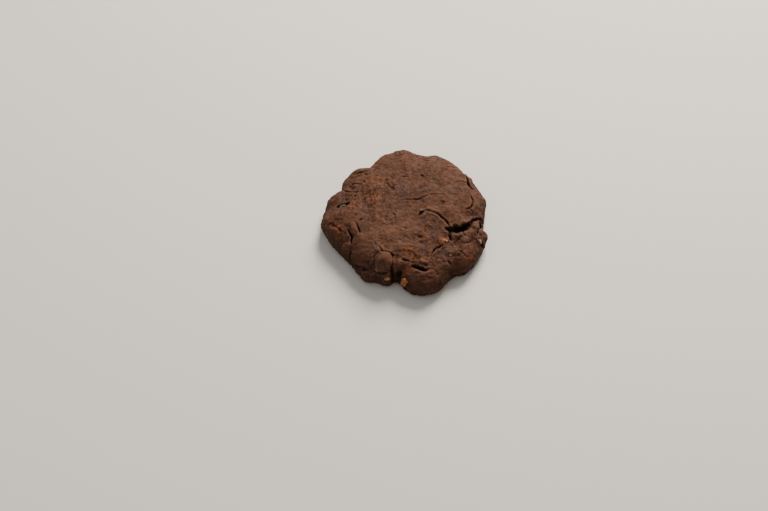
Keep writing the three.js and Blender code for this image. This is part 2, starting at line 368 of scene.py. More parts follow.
@dataclass
class Dome:
    """The uncracked round of dough: a lobed rim, a full shoulder and a flat rest face, in millimetres."""

    crown_height: float = 22.0
    belly_share: float = 0.2
    foot_share: float = 0.93
    shoulder_power: float = 2.7
    lobes_start: float = 0.45
    rim_step: float = 0.4
    reach_rounds: int = 4
    around: int = 420
    shoulder_steps: int = 90
    foot_steps: int = 8
    rest_steps: int = 24
    rim: np.ndarray = field(init=False)
    mean_reach: float = field(init=False)

    def __post_init__(self) -> None:
        """Work out the rim curve once."""
        knots = [
            (reach * math.cos(math.radians(turn)), reach * math.sin(math.radians(turn)))
            for turn, reach in RIM
        ]
        self.rim = curve_through(knots, self.rim_step, closed=True)
        self.mean_reach = sum(reach for _, reach in RIM) / len(RIM)

    def reach(self, angle: np.ndarray, share: np.ndarray) -> np.ndarray:
        """Give the reach of the ring at a share of the whole: lobed outside, round inside."""
        turns = np.arctan2(self.rim[:, 1], self.rim[:, 0])
        lobed = np.interp(angle, turns, np.hypot(*self.rim.T), period=2 * math.pi)
        return self.mean_reach + (lobed - self.mean_reach) * smooth_step(self.lobes_start, 1, share)

    def crown(self, x: np.ndarray, y: np.ndarray) -> np.ndarray:
        """Give the crown's height over each place, with its swellings and hollows."""
        height = np.full(np.shape(x), self.crown_height)
        for cx, cy, radius, rise in SWELLS:
            height = height + rise * np.exp(-((x - cx) ** 2 + (y - cy) ** 2) / radius**2)
        return height

    def height(self, x: np.ndarray, y: np.ndarray) -> np.ndarray:
        """Give the skin's height over each place inside the rim."""
        away, angle = np.hypot(x, y), np.arctan2(y, x)
        share = away / self.mean_reach
        for _ in range(self.reach_rounds):  # the reach depends on the share that it gives
            share = np.minimum(away / self.reach(angle, share), 1)
        up = (1 - share**self.shoulder_power) ** (1 / self.shoulder_power)
        return self.crown(x, y) * (self.belly_share + (1 - self.belly_share) * up)

    def section(self) -> np.ndarray:
        """Give the section from the middle of the rest face out, round the foot and up to the crown."""
        rest = [(self.foot_share * k / self.rest_steps, 0.0) for k in range(1, self.rest_steps)]
        quarter = np.linspace(0, math.pi / 2, self.foot_steps + 1)
        foot_out = self.foot_share + (1 - self.foot_share) * np.sin(quarter)
        foot = np.stack([foot_out, self.belly_share * (1 - np.cos(quarter))], 1)
        climb = np.linspace(0, math.pi / 2, self.shoulder_steps + 1)[1:-1]
        power = 2 / self.shoulder_power
        up = self.belly_share + (1 - self.belly_share) * np.sin(climb) ** power
        return np.concatenate([rest, foot, np.stack([np.cos(climb) ** power, up], 1)])

    def build(self, name: str) -> bpy.types.Mesh:
        """Make the closed dome in metres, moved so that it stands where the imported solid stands.

        Args:
            name: the mesh's name.

        Returns:
            The mesh.
        """
        section = self.section()
        angle = np.linspace(-math.pi, math.pi, self.around, endpoint=False)
        share, turn = np.meshgrid(section[:, 0], angle, indexing="ij")
        reach = share * self.reach(turn, share)
        x, y = reach * np.cos(turn), reach * np.sin(turn)
        z = section[:, 1][:, None] * self.crown(x, y)
        rings = np.stack([x, y, z], 2).reshape(-1, 3)
        ends = [(0, 0, 0), (0, 0, float(self.crown(np.array(0.0), np.array(0.0))))]
        points = np.concatenate([rings, ends])
        row, last = self.around, len(section) - 1
        faces = [
            (r * row + i, r * row + (i + 1) % row, (r + 1) * row + (i + 1) % row, (r + 1) * row + i)
            for r in range(last)
            for i in range(row)
        ]
        faces += [((i + 1) % row, i, len(rings)) for i in range(row)]
        faces += [(last * row + i, last * row + (i + 1) % row, len(rings) + 1) for i in range(row)]
        return mesh_from(name, (points + self.shift()) * MM, faces)

    def shift(self) -> np.ndarray:
        """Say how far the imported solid's middle lies from the middle of the rim curve's box."""
        low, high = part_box("cookie_dough")
        middle = (self.rim.min(0) + self.rim.max(0)) / 2
        return np.array([(low.x + high.x) / 2 / MM - middle[0], (low.y + high.y) / 2 / MM - middle[1], 0])


# ---------------------------------------------------------------- cracks


class Cut(Enum):
    """How a crack is opened in the crust."""

    PLUMB = "cut straight down through the crust"
    SQUARE = "cut square to the skin"
    SCORE = "a fine split, pressed into the skin"


@dataclass(frozen=True)
class Crack:
    """One split in the crust, with its path as seen from above.

    The lean moves its keel to the right of its run. Sizes are in millimetres.
    """

    width: float
    depth: float
    path: tuple
    lean: float = 0.0
    cut: Cut = Cut.PLUMB
    lip: float = 0.3


CRACKS = {
    "wide_inner": Crack(
        1.9, 5, ((9.8, -7.2), (11.8, -5.3), (15, -3.8), (20, -5.4), (24.7, -9), (28, -12.4), (30, -17)),
        lean=-1, lip=0.45,
    ),
    "wide_start": Crack(3, 3.6, ((9.6, -7), (11.6, -5.6), (14, -4.2)), lip=0.3),
    "wide_outer": Crack(
        6.4, 8.5, ((26.5, -16.6), (30, -18), (34, -17.8), (38.2, -16.7), (42, -13.9), (45.5, -10.6)),
        lean=-2, lip=0.5,
    ),
    "wide_mouth": Crack(
        2.2, 4.5, ((41, -13.6), (44.6, -10.4), (47.4, -7.4), (51, -5), (56, -3.8)), lean=-0.6
    ),
    "wide_branch": Crack(2.6, 5, ((29.6, -17), (29.4, -22), (30.4, -25.4))),
    "wide_nick": Crack(1.2, 2.4, ((37.6, -18), (38.2, -20), (38.9, -21.8))),
    "knob_gap": Crack(2, 4.5, ((50.2, -5), (50.9, -8.8), (50.3, -12.8), (48.5, -16.4), (47.8, -19.6))),
    "front_cleft": Crack(
        3.4, 10, ((-9, -38), (-9.8, -41.4), (-9.4, -44.4), (-8, -47), (-5.5, -50), (-4, -56)), lip=0.4
    ),
    "cleft_arm": Crack(
        1.8, 1.5, ((-4.2, -38.2), (-1.1, -39.1), (0.9, -39.4), (2.1, -40.7)), cut=Cut.SCORE
    ),
    "front_slot": Crack(
        3.6, 5, ((3.2, -43.2), (6, -44.4), (9.6, -46), (12, -46.7), (14.2, -46.3)), lean=-1.6
    ),
    "front_right": Crack(
        1.4, 2.8, ((15.9, -36.9), (17.6, -34.4), (18, -33.4), (19.2, -31.6), (21.4, -30.6), (24.8, -29.2))
    ),
    "front_pit": Crack(1.5, 2, ((26.8, -38.6), (28, -40), (29.2, -40.8))),
    "knob": Crack(
        1.4, 3, ((-18, -28), (-16.6, -30), (-15.6, -32.2), (-12.6, -33.3), (-9.8, -34.6), (-8.6, -37.2))
    ),
    "left_lobe": Crack(2, 3.6, ((-37.4, -13), (-35.6, -16.6), (-34.6, -18.6), (-35.2, -21), (-35.5, -24))),
    "left_side_hole": Crack(2.2, 2.6, ((-35.8, -26.2), (-36.2, -28.2), (-36.4, -30)), cut=Cut.SQUARE),
    "left_plate": Crack(
        1.3, 3, ((-31.9, -9.2), (-30.9, -11.6), (-29.8, -14.6), (-29.2, -16.6), (-29.8, -18.6)), lean=0.5
    ),
    "left_slit": Crack(2.8, 4.4, ((-45.4, 6.6), (-41.5, 6.8), (-38.5, 7), (-35, 8.4)), cut=Cut.SQUARE),
    "back_left": Crack(
        1.9, 3.4, ((-31.8, 33), (-27.5, 34), (-24.7, 34.7), (-21, 36.2)), lean=0.6, cut=Cut.SQUARE
    ),
    "back_left_pit": Crack(1.8, 2.2, ((-19, 34.6), (-18.2, 34.8), (-17.3, 35)), cut=Cut.SQUARE),
    "back_right": Crack(
        1.3, 3, ((31, 35.8), (34.3, 35.2), (36.4, 35.2), (38.2, 33.6), (39.2, 31)), lean=-0.6, cut=Cut.SQUARE
    ),
    "back_pit": Crack(1.8, 2, ((18, 40.6), (18.8, 40.4), (19.8, 40.4)), cut=Cut.SQUARE),
    "right_notch": Crack(
        2.2, 3.8, ((43.4, 30.4), (45, 26.6), (45.2, 22), (46.4, 19.2), (50, 16.4)), lean=-0.6,
        cut=Cut.SQUARE,
    ),
    "right": Crack(
        1.7, 2.8, ((45, 12), (46, 8.6), (46.6, 5.6), (46, 2.8), (44, 0.1), (41, -1.4)), lean=0.4
    ),
    "crown": Crack(
        0.85, 0.6, ((-1, 5.8), (2.2, 6.3), (9.5, 6.4), (12.9, 7.4), (17, 9.3), (21.4, 9.9), (28, 9.3)),
        cut=Cut.SCORE,
    ),
    "right_tail": Crack(1, 1, ((43.4, -0.2), (45.2, -1.3), (46, -3)), cut=Cut.SCORE),
    "right_fold": Crack(1.4, 0.8, ((36, 21.2), (39.2, 22.8), (42, 22.1), (45, 22.4)), cut=Cut.SCORE),
    "back_short": Crack(1, 1, ((-1.4, 25.7), (1.6, 25.4), (4.6, 25.7)), cut=Cut.SCORE),
    "back_jagged": Crack(
        1, 0.5, ((6.6, 27.2), (9.6, 27.1), (11.2, 25.7), (13.4, 27), (15.1, 26.1), (16.4, 24), (17.8, 21)),
        cut=Cut.SCORE,
    ),
    "back_rim": Crack(1.2, 0.8, ((-13, 45.4), (-7, 47.6), (0, 48.2), (6, 48.6)), cut=Cut.SCORE),
    "back_right_low": Crack(1.2, 1, ((12.6, 43.6), (15, 42.6), (17.6, 41.2)), cut=Cut.SCORE),
    "left_fold_back": Crack(1.8, 0.45, ((-34.4, 24.5), (-29.5, 23), (-25.6, 21.6)), cut=Cut.SCORE),
    "left_fold": Crack(1.8, 0.5, ((-40, 20), (-35.6, 17.6), (-31.3, 16.3), (-26.4, 16.1)), cut=Cut.SCORE),
    "left_shadow": Crack(3, 0.8, ((-49, -5), (-46, -9), (-43, -12), (-41, -16)), cut=Cut.SCORE),
    "knob_left": Crack(3, 0.8, ((-19.8, -33.6), (-20.4, -37), (-20.8, -40.6), (-19, -44)), cut=Cut.SCORE),
    "knob_under": Crack(
        2.8, 1.2, ((-21, -42.2), (-17.6, -44), (-14, -45), (-10.6, -44.4)), cut=Cut.SCORE
    ),
    "knob_right": Crack(2, 1.5, ((-10.6, -33.6), (-8.8, -35.4), (-8.4, -38.6)), cut=Cut.SCORE),
    "plate_edge": Crack(
        5, 2.4, ((-37, -28), (-35.8, -32), (-32, -37), (-28, -40.4), (-24, -42)), cut=Cut.SCORE
    ),
    "plate_ridge": Crack(1.8, 0.4, ((-21, -24.4), (-19, -27.6), (-18.4, -30.2)), cut=Cut.SCORE),
    "slot_lip": Crack(3, 0.5, ((3.6, -41), (8.8, -42.2), (12.8, -43.4), (15.6, -41.4)), cut=Cut.SCORE),
    "front_ridge": Crack(1.2, 0.4, ((20.9, -37.6), (19.6, -40.4), (20, -42.6)), cut=Cut.SCORE),
    "front_low": Crack(1.2, 0.5, ((14.8, -46.2), (17.4, -45.4), (16.8, -41.4)), cut=Cut.SCORE),
    "right_front_a": Crack(1.8, 1.2, ((38.8, -26.8), (40.9, -26.6), (43.4, -24.8)), cut=Cut.SCORE),
    "right_front_b": Crack(1.2, 0.9, ((30, -30), (35, -32.4), (39, -36)), cut=Cut.SCORE),
    "right_front_c": Crack(1.2, 0.9, ((34, -25.4), (36.4, -23), (40.4, -22.4)), cut=Cut.SCORE),
    "knob_foot": Crack(1.6, 1.4, ((47.8, -19.6), (48.4, -21), (50.6, -24.7), (52, -27)), cut=Cut.SCORE),
    "arc_a": Crack(1.4, 0.35, ((-13.2, -6.8), (-12, -8.8), (-11.2, -11.4)), cut=Cut.SCORE),
    "arc_b": Crack(1.6, 0.4, ((-7, -4), (-6, -7), (-6.4, -10)), cut=Cut.SCORE),
    "back_low": Crack(1.4, 0.8, ((-22, 43), (-16, 44.6), (-9, 44.2)), cut=Cut.SCORE),
    "foot_right": Crack(3.2, 2.2, ((28.6, -45), (34.4, -43.4), (40, -40.6), (45, -36.4)), cut=Cut.SCORE),
}  # fmt: skip


@dataclass
class CrackTool:
    """Opens the cracks in the dough: blades for the wide ones, a scoring tool for the fine ones."""

    dome: Dome
    step: float = 0.6  # between a blade's sections
    rise: float = 4.0  # of a blade above the skin
    tip: float = 0.2  # how full a crack is at its tips
    taper: float = 0.7
    slope_gap: float = 0.5
    ragged: float = 0.34
    keel_ragged: float = 0.3
    drift: float = 0.35  # of a fine crack off its path
    pinch: float = 0.5  # how much a fine crack's width varies
    fine_step: float = 0.25
    hair: float = 0.38  # least half width that the mesh can show
    groove_power: float = 0.8
    lip_reach: float = 4.0
    lip_away: float = 0.7
    lip_width: float = 0.9
    fine_lip_share: float = 0.5
    # Painted shade along the cracks: how dark a fine crack is drawn at most, and how far the shade reaches
    # in half widths.
    fine_crack_shade: float = 0.75
    crack_shade_reach: float = 1.3
    seed: int = 11

    # The blade's section: side, up and down in shares of half its width, its rise and its depth.
    SECTION = ((1, 1, 0), (1, 0, 0), (0.95, 0, 0.3), (0.7, 0, 0.65), (0, 0, 1),
               (-0.7, 0, 0.65), (-0.95, 0, 0.3), (-1, 0, 0), (-1, 1, 0))  # fmt: skip

    def body(self, count: int) -> np.ndarray:
        """Give how full a crack is along its run: thin at both tips."""
        return self.tip + (1 - self.tip) * np.sin(np.pi * np.linspace(0, 1, count)) ** self.taper

    def line(self, crack: Crack) -> tuple[np.ndarray, np.ndarray]:
        """Lay a crack's path on the skin.

        Args:
            crack: the crack.

        Returns:
            Its points on the skin, and the skin's normals there.
        """
        flat = curve_through(list(crack.path), self.step)
        x, y = flat.T
        gap = self.slope_gap
        slope_x = (self.dome.height(x + gap, y) - self.dome.height(x - gap, y)) / (2 * gap)
        slope_y = (self.dome.height(x, y + gap) - self.dome.height(x, y - gap)) / (2 * gap)
        normal = np.stack([-slope_x, -slope_y, np.ones(len(x))], 1)
        if crack.cut is Cut.PLUMB:
            normal[:, :2] = 0
        normal /= np.linalg.norm(normal, axis=1)[:, None]
        return np.stack([x, y, self.dome.height(x, y)], 1), normal

    def blade(self, name: str, crack: Crack, rng: np.random.Generator) -> bpy.types.Object:
        """Make the closed ragged blade that cuts one crack.

        Args:
            name: the crack's name.
            crack: its sizes and path.
            rng: where its raggedness comes from.

        Returns:
            The blade's object.
        """
        points, normal = self.line(crack)
        run = np.gradient(points, axis=0)
        across = np.cross(run, normal)
        across /= np.linalg.norm(across, axis=1)[:, None]
        full = self.body(len(points))
        rows = []
        for side, up, down in self.SECTION:
            wobble = self.ragged * wander(rng, len(points), 2)
            half = side * crack.width / 2 * full + wobble * min(1.0, crack.width / 2)
            sideways = half + crack.lean * down * full
            height = up * self.rise - down * crack.depth * full * (1 + self.keel_ragged * wobble)
            rows.append(points + across * sideways[:, None] + normal * height[:, None])
        count, around = len(points), len(self.SECTION)
        stack = np.stack(rows, 1).reshape(-1, 3)
        faces = [
            (r + k, r + around + k, r + around + (k + 1) % around, r + (k + 1) % around)
            for r in range(0, (count - 1) * around, around)
            for k in range(around)
        ]
        faces += [tuple(range(around)), tuple((count - 1) * around + k for k in reversed(range(around)))]
        mesh = mesh_from("blade_" + name, (stack + self.dome.shift()) * MM, faces)
        with edited(mesh) as steel:
            bmesh.ops.triangulate(steel, faces=steel.faces)
            bmesh.ops.recalc_face_normals(steel, faces=steel.faces)
        return new_object("blade_" + name, mesh)

    def cut_wide(self, dough: bpy.types.Object) -> None:
        """Cut every wide crack out of the dough."""
        rng = np.random.default_rng(self.seed)
        wide = {name: crack for name, crack in CRACKS.items() if crack.cut is not Cut.SCORE}
        blades = [self.blade(name, crack, rng) for name, crack in wide.items()]
        for blade in blades:
            cutting = dough.modifiers.new("cut", "BOOLEAN")
            cutting.operation = "DIFFERENCE"
            cutting.solver = "MANIFOLD"
            cutting.object = blade
        settle(dough)
        for blade in blades:
            bpy.data.meshes.remove(blade.data)

    def trace(self, points: np.ndarray) -> list[tuple[Crack, np.ndarray, np.ndarray, np.ndarray]]:
        """Find the points near each crack.

        Args:
            points: points of the skin, in millimetres from the rim curve's middle.

        Returns:
            For each crack: itself, the near points' indices, their gaps to its line, and its
            half width there.
        """
        rng = np.random.default_rng(self.seed + 1)
        found = []
        for crack in CRACKS.values():
            line, normal = self.line(crack)
            drift = self.drift * wander(rng, len(line), 2)
            pinch = 1 + self.pinch * wander(rng, len(line), 3)
            half = np.maximum(crack.width / 2 * self.body(len(line)) * pinch, self.hair)
            line = line + np.cross(np.gradient(line, axis=0) / self.step, normal) * drift[:, None]
            run = np.concatenate([[0], np.cumsum(np.linalg.norm(np.diff(line, axis=0), axis=1))])
            stops = np.linspace(0, run[-1], round(run[-1] / self.fine_step) + 2)
            line = np.stack([np.interp(stops, run, line[:, k]) for k in range(3)], 1)
            half = np.interp(stops, run, half)
            reach = crack.width / 2 + self.lip_reach
            inside = (points > line.min(0) - reach) & (points < line.max(0) + reach)
            near = np.flatnonzero(inside.all(1))
            gaps = np.linalg.norm(points[near, None] - line[None], axis=2)
            best = gaps.argmin(1)
            found.append((crack, near, gaps[np.arange(len(near)), best], half[best]))
        return found

    def press_fine(self, points: np.ndarray, normals: np.ndarray) -> np.ndarray:
        """Press the fine cracks in, and raise a lip beside every crack.

        Args:
            points: the skin's points, in millimetres from the rim curve's middle.
            normals: their normals.

        Returns:
            The moved points.
        """
        moved = points.copy()
        for crack, near, gap, half in self.trace(points):
            full = 2 * half / crack.width
            rise = crack.lip * full * np.exp(-(((gap - half - self.lip_away) / self.lip_width) ** 2))
            if crack.cut is Cut.SCORE:
                groove = np.clip(1 - gap / half, 0, 1) ** self.groove_power
                rise = rise * self.fine_lip_share - crack.depth * full * groove
            moved[near] += normals[near] * rise[:, None]
        return moved

    def darkness(self, points: np.ndarray) -> np.ndarray:
        """Say how dark the painted shade of the fine cracks makes each point.

        Args:
            points: the skin's points, in millimetres from the rim curve's middle.

        Returns:
            A value from 0 to 1 for each point.
        """
        dark = np.zeros(len(points))
        for crack, near, gap, half in self.trace(points):
            most = self.fine_crack_shade if crack.cut is Cut.SCORE else 1.0
            ink = np.clip(crack.depth / crack.width, 0, most) * np.clip(self.crack_shade_reach - gap / half, 0, 1)
            dark[near] = np.maximum(dark[near], ink)
        return dark


# ---------------------------------------------------------------- the dough's skin

# Listed lumps and dents: x, y, reach along, reach across, turn of the long side in degrees
# from +X, and rise.
LUMPS = (
    (-14.4, -38.8, 5.3, 4.9, 20, 2.3),  # knob beside the cleft
    (-33.2, -13.2, 4.2, 1.8, 108, 1.1),  # finger between the two left cracks
    (-38.6, -23.8, 3, 2.4, 0, 0.9),
    (-17.3, -31.4, 1.5, 1.3, 0, 0.7),
    (-5, -40.6, 3.4, 2.8, 0, 1.7),  # mound between the cleft and the slot
    (52.4, -17.2, 3.4, 2.8, 60, 1.0),  # bump at the right rim
    (47.2, -13.1, 3.2, 3, 0, 0.8),
    (43, -20, 3.4, 2.6, 30, 0.8),
    (36, -21.8, 2.6, 2, 0, 0.6),
    (38.8, -24.2, 2.6, 1.8, 20, 0.6),
    (32.8, -23.8, 2.2, 1.8, 0, 0.5),
    (31.5, -17.6, 2.6, 2.2, 0, 2.4),  # crumbled floor of the wide crack
    (36.4, -16.4, 2.4, 2, 0, 2),
    (41, -13.4, 2, 1.6, 0, 1.4),
    (48.4, -22.6, 2.6, 1.6, 120, 0.7),
    (30, -33, 5, 3.4, 20, 0.7),
    (40, -31, 4, 3, 40, 0.6),
    (24.8, -26, 3.4, 1.8, 10, 0.5),
    (9.4, -41.4, 5, 1.4, -10, 0.7),  # lip above the slot
    (16, -24, 8, 5, 20, 0.5),
    (19, -11, 9, 7, -35, 0.75),  # swollen edge in front of the wide crack
    (33, -8, 9, 5, -25, 0.9),  # edge of the plate behind it
    (4, -16, 9, 6, 0, 0.5),
    (12, 15.9, 2.4, 1.5, 10, -0.9),
    (26.6, 3.3, 2.2, 0.8, -20, -0.5),
    (26.9, 1.1, 1.8, 0.7, -20, -0.4),
    (10.6, -23, 2.4, 1.3, -10, -0.6),
    (10.4, -27.2, 2, 1.3, -10, -0.4),
    (-24, 4, 5, 12, 0, -0.4),
    (-18, 14, 5, 14, 0, 0.4),
    (-27, 31, 6, 2.4, 15, -0.7),
    (-27.4, 37.2, 6, 1.8, 14, 1.3),  # raised edge behind the back left crack
    (-40, -2, 6, 5, 0, 0.5),
    (-44, -14, 5, 4, 60, 0.5),
    (-26, -26, 8, 12, -30, 0.7),  # smooth plate on the left front
    (-31, -40, 5, 3, -40, -1.0),
    (-20, -47, 4, 3, 0, -0.9),
    (-27, -42.6, 2.6, 1.8, -20, 1.0),  # rough dough low on the left front
    (-33.4, -38, 2.2, 1.8, 0, 0.9),
    (-22.6, -45.2, 2.2, 1.8, 20, 1.0),
    (-38, -33, 2.4, 1.8, -60, 0.8),
    (-14.4, -47.4, 2.6, 1.8, 0, 0.9),
    (6, -31, 6, 3, 0, 0.4),
    (2, 33, 9, 5, 10, 0.5),
    (24, 26, 9, 6, -20, 0.5),
    (40, 12, 5, 7, 0, 0.5),
    (48, 8, 3, 6, 0, 0.6),
    (-8, 44, 9, 3, 5, 0.5),
    (-10, -20, 7, 4, -30, 0.4),
)

# Small pits in the crust: x, y, radius and depth.
PITS = (
    (-31.7, 13.1, 1.1, 0.8), (-32.2, 9.5, 0.9, 0.5), (-28.3, 0.7, 0.9, 0.4), (-31.8, -2.9, 0.9, 0.5),
    (-28.5, -7.2, 1.1, 0.6), (-25.3, 29, 1, 0.5), (-25.2, 23.8, 1, 0.5), (14.9, 42.8, 1.1, 0.6),
    (7.1, 38.6, 1.1, 0.5), (-0.4, 50.3, 1.1, 0.6), (27.4, -39.6, 1.2, 0.9), (-37.2, -30.4, 1.6, 1.6),
    (50.6, -24.7, 1.6, 1.5), (-9.8, 21.4, 1, 0.3), (-6.6, 16.2, 1.2, 0.3), (-5.2, -45.6, 2.2, 3),
)  # fmt: skip

PIT_EDGE = (1.3, 0.3)  # shares of a pit's radius, from where it starts to where it is full

# The tables below are soft round zones: x, y, radius and weight. Here the crust is crumbled, and
# smooth where the weight is below 0.
COARSE_ZONES = (
    (-20, 10, 8, 0.6),  # flaky band down the left of the crown
    (-8, 17, 5, 0.9),
    (-11, 24, 5, 0.8),
    (-31, 4, 5, 0.4),
    (-12, -20, 9, 0.2),
    (3, -33, 6, 0.9),
    (11, -40, 4, 0.9),
    (18, -17, 7, -0.2),
    (38, -25, 9, 0.9),  # crumbled dough in front of the wide crack
    (34, -18, 4, 0.8),
    (-30, -42, 9, 1.3),
    (-18, -49, 9, 1.3),
    (8, 42, 7, 0.5),
    (-52, -8, 8, 0.5),
    (12, 2, 14, -0.2),
    (34, 4, 14, -0.3),  # smooth plate behind the wide crack
    (-27, -24, 9, -0.6),  # smooth plate on the left front
    (-14, -38, 5, -1.0),  # knob
    (12, -50, 9, -0.4),  # smooth front lobe
)
# Streaks that run front to back, and creases that run across.
BAND_ZONES = ((-20, 10, 9, 1.0), (-18, -2, 5, 0.6), (-32, 4, 4, 0.7), (20, -15, 5, 0.6))
CREASE_ZONES = (
    (10, -53, 12, 1.0),
    (30, -36, 9, 0.6),
    (26, 8, 12, 0.5),
    (-34, 20, 8, 0.9),
    (0, 36, 12, 0.4),
    (-18, -22, 8, 0.6),
    (-28, -28, 8, 0.3),
)
# Redder crust, painted light on parts of the top, and a violet tone that is partly bloom and partly painted
# sheen.
RUDDY_ZONES = (
    (-19, 10, 7, 0.5),
    (-18.4, 26, 5, 0.6),
    (-32.6, 5, 2.4, 1.0),
    (-44, -12.5, 3.6, 1.0),
    (-48, -4, 5, 0.4),
    (-17, 42, 4, 0.7),
    (1, -33, 3.6, 1.0),
    (5.8, -38.4, 2.6, 0.9),
    (11.5, -39.6, 2.6, 0.6),
    (1, -47, 4, 0.6),
    (24.9, -26, 3, 0.9),
    (43, -34.4, 2.2, 0.9),
    (39.6, -37.6, 2.6, 0.7),
    (-24, -22, 5, 0.25),
    (12, -22, 8, 0.2),
    (-5, -40, 3.4, 0.5),
    (-12, -24, 8, 0.15),
)
# Painted light: lightens parts of the top that slope away from the lamp.
PAINTED_LIGHT_ZONES = (
    (-4, -20, 12, 1.0),
    (14, -20, 8, 0.4),
    (-24, -22, 8, 0.8),
    (-30, 2, 6, 0.4),
    (-14, 0, 9, 0.4),
)
# Partly violet bloom and partly painted sheen.
BLOOM_AND_SHEEN_ZONES = (
    (-12, 32, 4, 0.8),
    (1, 15, 6, 0.9),
    (32, 15, 4, 0.8),
    (23, 43.4, 3, 0.7),
    (50, 4, 4, 0.6),
    (-28, 4, 4, 0.7),
    (-27, -13, 3, 0.8),
    (20, -21, 5, 0.7),
    (26, -34, 4, 0.7),
    (8.6, -46.4, 2.6, 0.9),
    (3, -49.6, 2.2, 0.9),
    (4.4, -54.4, 2, 0.7),
    (-20, -29, 3, 0.7),
    (-20, -43, 4, 0.6),
    (-40, 12, 4, 0.5),
    (40, -18, 4, 0.5),
    (49, -22.5, 2, 0.8),
)


def zones(table: tuple, points: np.ndarray) -> np.ndarray:
    """Add up a table of round soft-edged zones over each point, in millimetres."""
    total = np.zeros(len(points))
    for x, y, radius, weight in table:
        total += weight * np.exp(-((points[:, 0] - x) ** 2 + (points[:, 1] - y) ** 2) / radius**2)
    return total


def lump_rise(points: np.ndarray) -> np.ndarray:
    """Add up the listed lumps and dents over each point, in millimetres."""
    total = np.zeros(len(points))
    for x, y, along, across, turn, rise in LUMPS:
        cos, sin = math.cos(math.radians(turn)), math.sin(math.radians(turn))
        dx, dy = points[:, 0] - x, points[:, 1] - y
        away = ((dx * cos + dy * sin) / along) ** 2 + ((dy * cos - dx * sin) / across) ** 2
        total += rise * np.exp(-(away**2))
    return total


def pit_depth(points: np.ndarray) -> np.ndarray:
    """Give the depth of the small pits at each point, in millimetres."""
    total = np.zeros(len(points))
    for x, y, radius, depth in PITS:
        away = np.hypot(points[:, 0] - x, points[:, 1] - y) / radius
        total += depth * smooth_step(*PIT_EDGE, away)
    return total


class Pattern(Enum):
    """The patterns that relief is built from, by the node that draws each."""

    CLOUD = "ShaderNodeTexNoise"
    CELLS = "ShaderNodeTexVoronoi"


@dataclass(frozen=True)
class ReliefLayer:
    """One layer of relief. Between low and high the pattern's value turns to the rise from start to end."""

    name: str
    pattern: Pattern
    size: float
    height: float
    low: float
    high: float
    start: float
    end: float
    where: str = ""
    detail: float = 2.0
    stretch: tuple = (1.0, 1.0, 1.0)


CRUST_LAYERS = (
    ReliefLayer("swell", Pattern.CLOUD, 15, 0.55, 0.3, 0.7, -1, 1, detail=1),
    ReliefLayer("dimple", Pattern.CLOUD, 6.5, 0.3, 0.3, 0.7, -1, 1),
    ReliefLayer("tear", Pattern.CLOUD, 12, 0.42, 0.495, 0.52, 0, 1, where="patchy", detail=5),
    ReliefLayer("flake", Pattern.CLOUD, 7, 0.22, 0.55, 0.58, 0, 1, where="patchy", detail=5),
    ReliefLayer("wrinkle", Pattern.CLOUD, 2.2, 0.13, 0.3, 0.7, -1, 1, detail=3),
    ReliefLayer("streak", Pattern.CLOUD, 2.2, 0.42, 0.35, 0.65, -1, 1, "band", 3, (1, 0.22, 0.6)),
    ReliefLayer("crease", Pattern.CLOUD, 2.4, 0.26, 0.35, 0.65, -1, 1, "creased", 2, (0.22, 1, 1)),
    ReliefLayer("crumb", Pattern.CELLS, 1.9, 0.42, 0.05, 0.5, 1, 0, where="coarse"),
    ReliefLayer("pit", Pattern.CELLS, 3.3, 0.55, 0.1, 0.3, -1, 0, where="coarse"),
    ReliefLayer("pore", Pattern.CELLS, 6.1, 0.3, 0.05, 0.13, -1, 0),
    ReliefLayer("grain", Pattern.CLOUD, 1.1, 0.13, 0.3, 0.7, -1, 1, detail=2),
)


